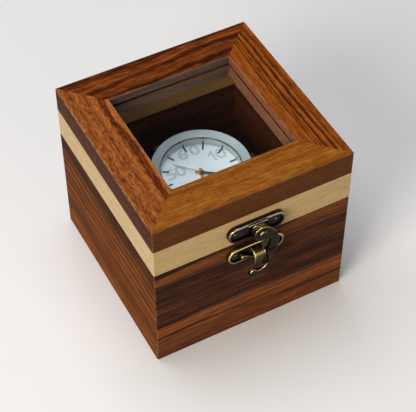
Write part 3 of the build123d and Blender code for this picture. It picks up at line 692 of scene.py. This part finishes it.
def cast_copy(node, name, voxel, soft_rounds, polish, left_highlight, low_edge_light=1.0, shade_circle=None):
    """The CAD node's shape as a casting: remeshed evenly, then smoothed so that its edges round over.

    Smoothing goes in by 0.5 and back out by 0.52 each round, so that the size stays. A point attribute
    holds each point's wear, with painted highlight and painted shade laid in as the arguments ask.
    """
    piece = new_object(name, NODES[node].data.copy())
    merged = bmesh.new()
    merged.from_mesh(piece.data)
    bmesh.ops.remove_doubles(merged, verts=merged.verts, dist=0.002 * MM)
    merged.to_mesh(piece.data)
    merged.free()
    mesh = remesh(piece, voxel)
    edges = read(mesh.edges, "vertices", 2, np.int32)
    points = mesh_points(mesh)
    for _ in range(soft_rounds):
        points = relax(points, edges, 1, 0.5)
        points = relax(points, edges, 1, -0.52)
    set_points(mesh, points)
    normals = read(mesh.vertices, "normal", 3)
    amount = rub_and_highlight_amount(points, normals, edges, polish, left_highlight, low_edge_light, shade_circle)
    rub_and_highlight = mesh.attributes.new("rub_and_highlight", "FLOAT", "POINT")
    rub_and_highlight.data.foreach_set("value", amount.astype(np.float32))
    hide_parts(node)
    return piece


def antique_brass(name, dark, mid, warm, bright, lift):
    """Zinc casting plated in brass and blackened: dark in hollows, bright on edges from wear and painted
    highlight.
    """
    material, tree, place = new_material(name)
    # The casting's attribute holds wear, patina in the hollows, painted highlight on edges that face up and
    # left, painted shade on low edges and painted light on faces that face up.
    rub_and_highlight = put(tree, "Attribute", out="Fac", attribute_name="rub_and_highlight")
    # Blotches of blackening about 1.5 mm across and grain of about 0.25 mm.
    blotch = put(tree, "TexNoise", {"Vector": place, "Scale": 650.0, "Detail": 3.0})
    grain = put(tree, "TexNoise", {"Vector": place, "Scale": 4000.0, "Detail": 2.0})
    wear_and_highlight = centred(tree, grain, 0.2, centred(tree, blotch, 0.35, rub_and_highlight))
    level = put(tree, "Math", (wear_and_highlight, lift), "ADD")
    colour = put(tree, "ValToRGB", [level], stops=[
        (0.08, linear(dark)), (0.42, linear(mid)), (0.62, linear(warm)), (0.95, linear(bright)),
    ])
    rough = put(tree, "MapRange", {"Value": level, "To Min": 0.52, "To Max": 0.24})
    return close_material(material, {
        "Base Color": colour, "Roughness": rough, "Metallic": 1.0,
    }, blotch, 0.08, 0.3)


# The lid's plate and the hinges: heavily blackened, with silvery edges.
brass_cast = antique_brass("antique_brass_cast", "#100e10", "#3c3533", "#8f8775", "#e6dab4", 0.26)
# The catch, which the hook rubs, and the hinges' pins and nails: yellower and brighter.
brass_rubbed = antique_brass("antique_brass_rubbed", "#17130f", "#5e5242", "#a8914c", "#f6e49a", 0.28)
# The hook, its washer and its rivet: handled, dark faces with golden edges.
brass_hook = antique_brass("antique_brass_handled", "#120f0e", "#33281f", "#86713e", "#ecdc98", 0.24)
# The nail heads in the plates: hardly rubbed at all.
brass_black = antique_brass("antique_brass_blackened", "#100f12", "#3a3639", "#6e6250", "#b8a274", 0.14)


def make_castings():
    """Latch, catch and hook as rounded castings, and pressed hinge leaves with softened edges.

    The hook's arm has painted shade beside the tab, where its edges get no highlight. Pins and nails of
    the hinges keep their turned shape.
    """
    # Node, body, voxel in mm, rounds of softening, polish with its painted highlight and painted shade as
    # cast_copy takes it, material.
    for node, body, voxel, rounds, polish, material in (
        ("latch_plate", "lid", 0.18, 5, (0.45, 0.30, 0.10), brass_cast),
        ("catch_plate", "case", 0.20, 4, (0.55, 0.35, 0.35), brass_rubbed),
        ("latch_washer", "lid", 0.16, 1, (0.45, 0.20, 0.60), brass_hook),
        # The hook: painted shade in a circle beside the tab.
        ("latch_hook", "latch_hook", 0.18, 4, (0.05, 0.05, 1.0, (2.6, SEAM - 5.5, 3.2)), brass_hook),
        ("latch_rivet", "lid", 0.14, 2, (0.20, 0.10, 1.0), brass_hook),
        ("latch_nails", "lid", 0.16, 1, (0.20, 0.10, 1.0), brass_black),
        ("catch_nails", "case", 0.16, 1, (0.20, 0.10, 1.0), brass_black),
    ):
        cast = cast_copy(node, f"{node}_cast", voxel, rounds, *polish)
        finish_piece(cast, body, material)
    for part, body in (("base", "case"), ("lid", "lid")):
        for side in ("left", "right"):
            node = f"hinge_{part}_leaf_{side}"
            leaf = cast_copy(node, f"{node}_pressed", 0.2, 1, 0.35, 0.0)
            finish_piece(leaf, body, brass_cast)
    for node in ("hinge_pin_left", "hinge_pin_right", "hinge_base_nails", "hinge_lid_nails"):
        dress(node, brass_rubbed)


make_castings()


# ======== watch
MINUTE_BEARING = 125.0
SECOND_BEARING = 316.5
DIAL_TOP = extent("dial")[1][2]
CRYSTAL_FOOT = extent("crystal")[0][2]
DIGIT_HEIGHT = 6.8
DIGIT_WIDTH = 5.0
DIGIT_BOLDNESS = 0.028
PRINT_LIFT = 0.02
PRINT_THICKNESS = 0.02
# The one is a stem with a flag, on a square of side one.
ONE = np.array([
    (0.45, 0, 0), (0.72, 0, 0), (0.72, 1, 0), (0.5, 1, 0), (0, 0.72, 0), (0, 0.54, 0), (0.45, 0.76, 0),
])
ONE_NARROWER = 0.6
# Number: centre of its first digit, centre of its second digit.
NUMBERS = {
    "60": ((-2.6, 14.8), (3.9, 14.8)), "10": ((9.3, 7.1), (14.0, 7.0)), "20": ((9.0, -7.4), (14.4, -7.4)),
    "30": ((-2.7, -13.7), (2.7, -13.7)), "40": ((-14.3, -7.4), (-8.9, -7.4)),
    "50": ((-13.3, 5.8), (-8.2, 5.9)),
}
# Marks on the ring: radius of its slope at foot and head, the share of its height that they cover, and
# their width, lift off the slope and number of steps.
RING_FOOT, RING_HEAD = 18.85, 19.0
MARK_LOW, MARK_HIGH = 0.04, 0.66
MARK_WIDTH, MARK_LIFT, MARK_STEPS = 0.8, 0.03, 5


def clear_glass(name, tint):
    """Clear float glass, IOR 1.5. Lamps reach through it: for shadow rays it is plainly transparent."""
    material, tree = empty_material(name)
    glass = put(tree, "BsdfPrincipled", {
        "Base Color": linear(tint), "Roughness": 0.0, "IOR": 1.5, "Transmission Weight": 1.0,
    })
    shadow = put(tree, "LightPath", out="Is Shadow Ray")
    through = put(tree, "BsdfTransparent", {"Color": linear(tint)})
    put(tree, "OutputMaterial", [put(tree, "MixShader", (shadow, glass, through))])
    return material


def plain_metal(name, hex_colour, roughness, brushed, spread):
    """Metal with fine lines turned round the watch's axis: each ring is a little rougher or smoother."""
    material, tree, place = new_material(name)
    flat = put(tree, "VectorMath", (place, (1.0, 1.0, 0.0)), "MULTIPLY")
    radius = put(tree, "VectorMath", [flat], "LENGTH", out="Value")
    # Brush lines every 0.15 mm, drawn coarser than real ones so that they show. Smears are 8 mm wide.
    lines = put(tree, "TexNoise", {
        "W": radius, "Scale": 1 / (0.15 * MM), "Detail": 2.0,
    }, noise_dimensions="1D")
    smear = put(tree, "TexNoise", {"Vector": place, "Scale": 120.0, "Detail": 2.0})
    rough = centred(tree, smear, spread, centred(tree, lines, brushed, roughness))
    return close_material(material, {
        "Base Color": linear(hex_colour), "Roughness": rough, "Metallic": 1.0,
    }, lines, 0.03, 0.25)


def enamel(name, hex_colour, roughness, speckle, coat=0.0):
    """Paint or moulded plastic with a faint speckle of tone about 0.3 mm across."""
    material, tree, place = new_material(name)
    noise = put(tree, "TexNoise", {"Vector": place, "Scale": 3000.0, "Detail": 3.0})
    return close_material(material, {
        "Base Color": mottled(tree, hex_colour, (noise, speckle)), "Roughness": roughness,
        "Coat Weight": coat, "Coat Roughness": 0.1,
    }, noise, 0.03, 0.1)


def two_tone_hand(name, hub_colour, blade_colour, bearing, change):
    """Lacquered hand: past change millimetres from the arbor, towards bearing, the blade's colour starts."""
    material, tree, place = new_material(name)
    towards = (math.sin(math.radians(bearing)), math.cos(math.radians(bearing)), 0.0)
    blade = past_plane(tree, place, towards, change)
    colour = put(tree, "Mix", {
        0: blade, 6: linear(hub_colour), 7: linear(blade_colour),
    }, out=2, data_type="RGBA")
    return close_material(material, {"Base Color": colour, "Roughness": 0.35})


def dress_watch():
    """Glass, metal, paint and rubber of the watch, and the window's pane."""
    # Polished 316L steel: a mid grey with soft reflections.
    steel = plain_metal("polished_steel", "#9aa0a5", 0.30, 0.10, 0.06)
    for node in ("watch_middle", "watch_back", "spring_bars", "buckle", "buckle_tongue"):
        dress(node, steel)
    for node, material in (
        # Float glass has a trace of green, mineral glass hardly any.
        ("glass_pane", clear_glass("window_float_glass", "#f4f8f6")),
        ("crystal", clear_glass("mineral_crystal", "#fbfcfc")),
        # Circular-brushed steel: broad and dull, with a satin sheen.
        ("bezel", plain_metal("brushed_steel", "#9aa0a6", 0.58, 0.20, 0.08)),
        # Gilt brass, worn on the crown and clean inside the case.
        ("crown", plain_metal("gilt_crown", "#8d6b34", 0.32, 0.1, 0.1)),
        ("movement", plain_metal("movement_brass", "#b08d4a", 0.35, 0.1, 0.1)),
        # Sprayed dial, matt silver white; moulded ring, grey with a slight gloss.
        ("dial", enamel("dial_enamel", "#dadde4", 0.45, 0.03)),
        ("dial_ring", enamel("rehaut_grey", "#bcc0c2", 0.30, 0.03, 0.3)),
        # Lacquered markers, dark teal; nitrile rubber, matt.
        ("hour_markers", enamel("marker_lacquer", "#0a252b", 0.30, 0.05)),
        ("crystal_gasket", enamel("gasket_rubber", "#2a342e", 0.55, 0.05)),
        # Lacquered brass hands: orange, dark with an orange boss, and pale grey with a dark boss.
        ("hour_hand", enamel("hand_orange_lacquer", "#d9742c", 0.35, 0.03)),
        ("minute_hand", two_tone_hand("minute_hand_lacquer", "#d9742c", "#20302a", MINUTE_BEARING, -0.4)),
        ("second_hand", two_tone_hand("second_hand_lacquer", "#3a4440", "#8f9a9a", SECOND_BEARING, 0.9)),
    ):
        dress(node, material)


def digit(text, centre, width, height):
    """One plain digit cut as flat print, scaled to width by height and centred, in millimetres.

    The one is the outline above; the others are the outlines of a plain font.
    """
    if text == "1":
        points, faces = ONE.copy(), [range(len(ONE))]
    else:
        curve = bpy.data.curves.new("digit", "FONT")
        curve.body = text
        curve.resolution_u = 6
        curve.offset = DIGIT_BOLDNESS
        written = new_object("digit", curve)
        mesh = evaluated_copy(written)
        points, faces = mesh_points(mesh), [p.vertices for p in mesh.polygons]
        bpy.data.objects.remove(written)
    low, high = points[:, :2].min(0), points[:, :2].max(0)
    points[:, :2] = (points[:, :2] - (low + high) / 2) * (width, height) / (high - low) + centre
    return points, faces


def make_numerals():
    """Minute numbers 10 to 60 in thin grey print, upright on the dial, each written as two digits."""
    points, faces, start = [], [], 0
    for text, centres in NUMBERS.items():
        for letter, centre in zip(text, centres):
            width = DIGIT_WIDTH * (ONE_NARROWER if letter == "1" else 1.0)
            flat, outline = digit(letter, centre, width, DIGIT_HEIGHT)
            flat[:, 2] = DIAL_TOP + PRINT_LIFT
            points.append(flat)
            faces += [[i + start for i in f] for f in outline]
            start += len(flat)
    numerals = link_mesh("dial_numerals", np.concatenate(points), faces, smooth=False)
    thick = numerals.modifiers.new("print", "SOLIDIFY")
    thick.thickness = PRINT_THICKNESS * MM
    thick.offset = 1.0
    # Pad-printed ink: pale grey and matt.
    finish_piece(numerals, "case", enamel("numeral_print", "#b4bbc0", 0.5, 0.03))


def make_ring_marks():
    """Twelve thin strips up the slope of the ring, one above each hour marker.

    A strip's spine rises with the slope, and its two edges lie half a width to either side.
    """
    rise = np.linspace(MARK_LOW, MARK_HIGH, MARK_STEPS)
    radius = RING_FOOT + (RING_HEAD - RING_FOOT) * rise - MARK_LIFT
    level = DIAL_TOP + (CRYSTAL_FOOT - DIAL_TOP) * rise
    points, faces = [], []
    for bearing in full_turn(12):
        out = np.array([math.sin(bearing), math.cos(bearing), 0.0])
        side = np.array([math.cos(bearing), -math.sin(bearing), 0.0])
        spine = radius[:, None] * out + level[:, None] * np.array(Z)
        edges = np.stack([spine - side * MARK_WIDTH / 2, spine + side * MARK_WIDTH / 2], 1)
        faces.append(grid_faces(MARK_STEPS, 2, start=len(points) * 2 * MARK_STEPS))
        points.append(edges.reshape(-1, 3))
    marks = link_mesh("ring_marks", np.concatenate(points), np.concatenate(faces), smooth=False)
    # Near-black marks with a slight gloss.
    finish_piece(marks, "case", enamel("ring_mark_dark", "#243032", 0.4, 0.03))


dress_watch()
make_numerals()
make_ring_marks()


# ======== cushion, strap and lining
CUSHION_LOW, CUSHION_HIGH = extent("watch_cushion")
CUSHION_CUTS = 15
CUSHION_POWER = 5.0
CUSHION_VOXEL = 2.0
# The form starts this much smaller than the cushion, and no point moves further than the limit.
PUFF_ROOM = 0.6
PUFF_LIMIT = 1.6
PUFF_FRAMES = 20
# Under the strap the cushion sinks, over a margin beside it. The seam is a groove in from each end.
# It sinks only where it lies past PULL_FROM of the way out from the middle.
STRAP_PULL = 0.5
PULL_MARGIN = 2.5
PULL_FROM = 0.7
SEAM_INSET = 5.0
SEAM_WIDTH = 0.7
SEAM_DEPTH = 0.45
CUSHION_CORNER = 9.0

STRAP_HALF_WIDTH = extent("strap_tail_half")[1][0]
STRAP_THICKNESS = 2.2
STRAP_GAP = 0.3
STRAP_STEP = 0.7
STRAP_END_ROUND = 1.2
STRAP_POWER = 0.32
BUCKLE_HALF_END = -2.0
SPRING_BAR_RADIUS = 0.75
BAR_Y = extent("spring_bars")[1][1] - SPRING_BAR_RADIUS
BAR_Z = (extent("spring_bars")[0][2] + extent("spring_bars")[1][2]) / 2
STITCH_LENGTH = 1.9
STITCH_THICKNESS = 0.42
STITCH_PITCH = 2.7
STITCH_INSET = 1.7
STITCH_SINK = 0.02
FIRST_STITCH = 4.0
BARE_END = 18.0
KEEPER_STRIP = 1.0
KEEPER_POWER = 0.16
LINING_STEPS = 90
LINING_ROUND = 0.8
LINING_FALL = 0.45
LINING_WAVE = 0.04


def velvet(name, hex_colour, sheen_colour):
    """Cotton velvet: dark pile that lightens at a glancing angle, brushed in patches 6 mm wide."""
    material, tree, place = new_material(name)
    brushed = put(tree, "TexNoise", {"Vector": place, "Scale": 160.0, "Detail": 2.0})
    pile = put(tree, "TexNoise", {"Vector": place, "Scale": 3500.0, "Detail": 2.0})
    return close_material(material, {
        "Base Color": mottled(tree, hex_colour, (pile, 0.7), (brushed, 0.5)), "Roughness": 0.9,
        "Sheen Weight": 0.5, "Sheen Roughness": 0.35, "Sheen Tint": linear(sheen_colour),
    }, pile, 0.1, 0.5)


def leather(name, hex_colour):
    """Vegetable-tanned calf: brown, with a cell grain of about 0.6 mm and darker creases."""
    material, tree, place = new_material(name)
    cells = put(tree, "TexVoronoi", {"Vector": place, "Scale": 1 / (0.6 * MM)})
    tan = put(tree, "TexNoise", {"Vector": place, "Scale": 220.0, "Detail": 3.0})
    return close_material(material, {
        "Base Color": mottled(tree, hex_colour, (tan, 0.5), (cells, -0.35)), "Roughness": 0.48,
    }, cells, 0.12, 0.5, invert=True)


def felt(name, hex_colour):
    """Wool felt: matt, with tangled fibres about 0.5 mm apart and faint lint."""
    material, tree, place = new_material(name)
    tangle = put(tree, "TexNoise", {
        "Vector": place, "Scale": 1 / (0.5 * MM), "Detail": 4.0, "Roughness": 0.7, "Distortion": 1.5,
    })
    return close_material(material, {
        "Base Color": mottled(tree, hex_colour, (tangle, 0.9)), "Roughness": 0.95, "Sheen Weight": 0.2,
    }, tangle, 0.2, 0.6)


strap_leather = leather("strap_calf_leather", "#4b2c19")
# Waxed linen thread: ochre and dull.
thread = enamel("waxed_thread", "#a8875a", 0.7, 0.2)


def puffed(pillow):
    """Points of the pillow after a cloth simulation with air pressure and no gravity."""
    cloth = pillow.modifiers.new("cloth", "CLOTH").settings
    cloth.use_pressure = True
    cloth.uniform_pressure_force = 4.0
    cloth.effector_weights.gravity = 0.0
    cloth.quality = 6
    cloth.tension_stiffness = cloth.compression_stiffness = 18.0
    cloth.bending_stiffness = 0.4
    for step in range(1, PUFF_FRAMES + 1):
        bpy.context.scene.frame_set(step)
    points = mesh_points(evaluated_copy(pillow))
    pillow.modifiers.clear()
    bpy.context.scene.frame_set(1)
    return points


def held_in(points, centre, half):
    """The pillow's points kept inside its block, sunk beneath the strap, with the seam's groove all round."""
    points = np.clip(points, CUSHION_LOW, CUSHION_HIGH)
    beneath = np.clip((STRAP_HALF_WIDTH + PULL_MARGIN - np.abs(points[:, 0])) / PULL_MARGIN, 0.0, 1.0)
    outward = (points - centre) / half
    points -= outward * (STRAP_PULL * beneath * (np.abs(outward[:, 1:]).max(1) > PULL_FROM))[:, None]
    groove = np.exp(-((np.abs(points[:, 0]) - half[0] + SEAM_INSET) / SEAM_WIDTH) ** 2)
    radial = (points - centre) * (0, 1, 1)
    reach = np.linalg.norm(radial, axis=1, keepdims=True)
    points -= radial / np.maximum(reach, 1e-6) * (SEAM_DEPTH * groove)[:, None]
    points[:, 2] = np.maximum(points[:, 2], CUSHION_LOW[2])
    return points


def make_cushion():
    """Stuffed pillow: a rounded block puffed by a cloth simulation, held in where the strap crosses it.

    The block is a superellipsoid: each point is pushed out until the sum of its coordinates' fifth
    powers is one.
    """
    centre = (CUSHION_LOW + CUSHION_HIGH) / 2
    half = (CUSHION_HIGH - CUSHION_LOW) / 2 - PUFF_ROOM
    start = bmesh.new()
    bmesh.ops.create_cube(start, size=2.0)
    bmesh.ops.subdivide_edges(start, edges=start.edges, cuts=CUSHION_CUTS, use_grid_fill=True)
    unit = np.array([v.co for v in start.verts])
    faces = [[v.index for v in f.verts] for f in start.faces]
    start.free()
    length = (np.abs(unit) ** CUSHION_POWER).sum(1) ** (1 / CUSHION_POWER)
    pillow = link_mesh("watch_cushion_velvet", unit / length[:, None] * half + centre, faces)
    before = mesh_points(remesh(pillow, CUSHION_VOXEL))
    moved = puffed(pillow) - before
    far = np.linalg.norm(moved, axis=1, keepdims=True)
    points = before + moved * np.minimum(1.0, PUFF_LIMIT / np.maximum(far, 1e-6))
    set_points(pillow.data, held_in(points, centre, half))
    finer = pillow.modifiers.new("finer", "SUBSURF")
    finer.levels = finer.render_levels = 1
    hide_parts("watch_cushion")
    finish_piece(pillow, "case", velvet("cushion_velvet", "#2a1d18", "#7a6254"))


def arc_path(corners, radii, spacing):
    """Evenly spaced points along straight runs joined by arcs: each corner is rounded by its radius."""
    corners = [np.array(c, dtype=float) for c in corners]
    points = [corners[0]]
    for before, corner, after, radius in zip(corners, corners[1:], corners[2:], radii):
        into = (before - corner) / np.linalg.norm(before - corner)
        out = (after - corner) / np.linalg.norm(after - corner)
        half = math.acos(np.clip(into @ out, -1, 1)) / 2
        centre = corner + (into + out) / np.linalg.norm(into + out) * radius / math.sin(half)
        first = corner + into * radius / math.tan(half) - centre
        last = corner + out * radius / math.tan(half) - centre
        turn = math.acos(np.clip(first @ last / radius ** 2, -1, 1))
        share = np.linspace(0, 1, max(4, int(turn * radius / spacing)))[:, None]
        arc = (np.sin((1 - share) * turn) * first + np.sin(share * turn) * last) / math.sin(turn)
        points += list(centre + arc)
    points.append(corners[-1])
    line = np.array(points)
    run = distance_along(line)
    even = np.linspace(0, run[-1], int(run[-1] / spacing) + 1)
    return np.stack([np.interp(even, run, column) for column in line.T], -1)


def strap_band(name, node, line):
    """Leather band: a rounded flat section carried along a line in the plane x = 0.

    The section is a superellipse, the strap's width across and its thickness deep along the line's
    left-hand normal, and it shrinks to a rounded end. Gives those normals.
    """
    around = 28
    angle = full_turn(around)
    wide = bulged(np.cos(angle), STRAP_POWER) * STRAP_HALF_WIDTH
    deep = bulged(np.sin(angle), STRAP_POWER) * STRAP_THICKNESS / 2
    run = distance_along(line)
    ends = np.minimum(run, run[-1] - run)
    inside = np.clip(ends / STRAP_END_ROUND, 0, 1)[:, None]
    taper = np.clip(1 - (1 - inside) ** 2, 0.02, 1.0) ** 0.5
    direction = np.gradient(line, axis=0)
    direction /= np.linalg.norm(direction, axis=1, keepdims=True)
    normal = np.stack([-direction[:, 1], direction[:, 0]], -1)
    x = wide * (0.86 + 0.14 * taper)
    y, z = [line[:, None, k] + normal[:, None, k] * deep * taper for k in range(2)]
    points = np.stack([x, y, z], -1).reshape(-1, 3)
    faces = [*grid_faces(len(line), around, wrap_columns=True)]
    faces.append(range(around))
    faces.append(range(len(points) - around, len(points))[::-1])
    closed_piece(name, points, faces, strap_leather, node)
    return normal


def stitch_rows(line, outer):
    """Centre, direction and outward normal of each stitch, in two rows along a half of the strap."""
    run = distance_along(line)
    rows = []
    for place in np.arange(FIRST_STITCH, run[-1] - BARE_END, STITCH_PITCH):
        at = np.array([np.interp(place, run, column) for column in line.T])
        out = np.array([np.interp(place, run, column) for column in outer.T])
        out /= np.linalg.norm(out)
        centre = at + out * (STRAP_THICKNESS / 2 - STITCH_SINK)
        for x in (-STRAP_HALF_WIDTH + STITCH_INSET, STRAP_HALF_WIDTH - STITCH_INSET):
            rows.append((np.array([x, *centre]), np.array([0, out[1], -out[0]]), np.array([0, *out])))
    return rows


def make_stitches(rows):
    """Short raised stitches: one rounded bar per stitch, its section a hexagon that shrinks at both ends."""
    along_steps, around = 5, 6
    share = np.linspace(-1, 1, along_steps)
    swell = np.sqrt(1.02 - share ** 2)
    angle = full_turn(around)
    points, faces = [], []
    for centre, direction, normal in rows:
        side = np.cross(direction, normal)
        spine = centre + direction * (share[:, None] * STITCH_LENGTH / 2)
        section = np.cos(angle)[:, None] * side + np.sin(angle)[:, None] * normal
        ring = spine[:, None, :] + section[None] * (swell[:, None, None] * STITCH_THICKNESS / 2)
        start = len(points) * along_steps * around
        faces.append(grid_faces(along_steps, around, wrap_columns=True, start=start))
        points.append(ring.reshape(-1, 3))
    closed_piece("strap_stitching", np.concatenate(points), np.concatenate(faces), thread)


def make_strap():
    """Both halves of the strap, from the spring bars down the cushion's sides and under it."""
    side_y = extent("strap_tail_half")[1][1] - STRAP_THICKNESS / 2
    knee_z = extent("watch_middle")[0][2] - STRAP_THICKNESS
    turn = CUSHION_CORNER + STRAP_GAP + STRAP_THICKNESS / 2
    rows = []
    for side, node, name, end_y in (
        (1, "strap_tail_half", "strap_tail_leather", extent("strap_tail_half")[0][1]),
        (-1, "strap_buckle_half", "strap_buckle_leather", BUCKLE_HALF_END),
    ):
        level = extent(node)[0][2] + STRAP_THICKNESS / 2
        corners = [(side * BAR_Y, BAR_Z), (side * side_y, knee_z), (side * side_y, level), (end_y, level)]
        line = arc_path(corners, [STRAP_THICKNESS, turn], STRAP_STEP)
        left_of_line = strap_band(name, node, line)
        rows += stitch_rows(line, -side * left_of_line)
    make_stitches(rows)


def make_keeper():
    """Leather loop: a rounded strip carried round a rectangle with rounded corners.

    The loop's outline is a superellipse of high power, and so is the strip's section.
    """
    low, high = extent("strap_keeper")
    centre = (low + high) / 2
    half = (high - low) / 2
    around, section = 96, 12
    turn = full_turn(around)
    outline = np.stack([
        bulged(np.cos(turn), KEEPER_POWER) * (half[0] - KEEPER_STRIP / 2),
        bulged(np.sin(turn), KEEPER_POWER) * (half[2] - KEEPER_STRIP / 2),
    ], -1)
    outward = (outline / (half[0], half[2])) ** 5
    outward /= np.linalg.norm(outward, axis=1, keepdims=True)
    angle = full_turn(section)
    deep = bulged(np.cos(angle), 0.5) * KEEPER_STRIP / 2
    wide = bulged(np.sin(angle), 0.4) * half[1]
    points = np.stack([
        centre[0] + outline[:, None, 0] + outward[:, None, 0] * deep,
        np.broadcast_to(centre[1] + wide, (around, section)),
        centre[2] + outline[:, None, 1] + outward[:, None, 1] * deep,
    ], -1).reshape(-1, 3)
    faces = grid_faces(around, section, wrap_rows=True, wrap_columns=True)
    closed_piece("strap_keeper_leather", points, faces, strap_leather, "strap_keeper")


def make_lining():
    """Felt sheet laid on the bottom: a fine grid whose top rises and falls a little, closed at its edges.

    The height is the sheet's own thickness less a rounded fall at the border, plus two crossed slow
    waves.
    """
    low, high = extent("floor_lining")
    count = LINING_STEPS
    x, y = np.meshgrid(*np.linspace(low[:2], high[:2], count).T, indexing="ij")
    border = np.minimum.reduce([x - low[0], high[0] - x, y - low[1], high[1] - y])
    round_over = np.clip(border / LINING_ROUND, 0, 1)
    wave = LINING_WAVE * np.sin(x / 5.1 + 0.7) * np.cos(y / 6.3 - 0.4) - LINING_WAVE
    z = high[2] - LINING_FALL * (1 - np.sqrt(1 - (1 - round_over) ** 2)) + wave
    top = np.stack([x, y, z], -1).reshape(-1, 3)
    foot = top.copy()
    foot[:, 2] = low[2]
    index = np.arange(count * count).reshape(count, count)
    rim = np.concatenate([index[:, 0], index[-1, 1:], index[-2::-1, -1], index[0, -2:0:-1]])
    after = np.roll(rim, -1)
    faces = np.concatenate([
        grid_faces(count, count), grid_faces(count, count, start=count * count)[:, ::-1],
        np.stack([rim, after, after + count * count, rim + count * count], -1),
    ])
    sheet = closed_piece(
        "floor_lining_felt", np.concatenate([top, foot]), faces, felt("wool_felt", "#2b1b17"),
        "floor_lining",
    )


make_cushion()
make_strap()
make_keeper()
make_lining()
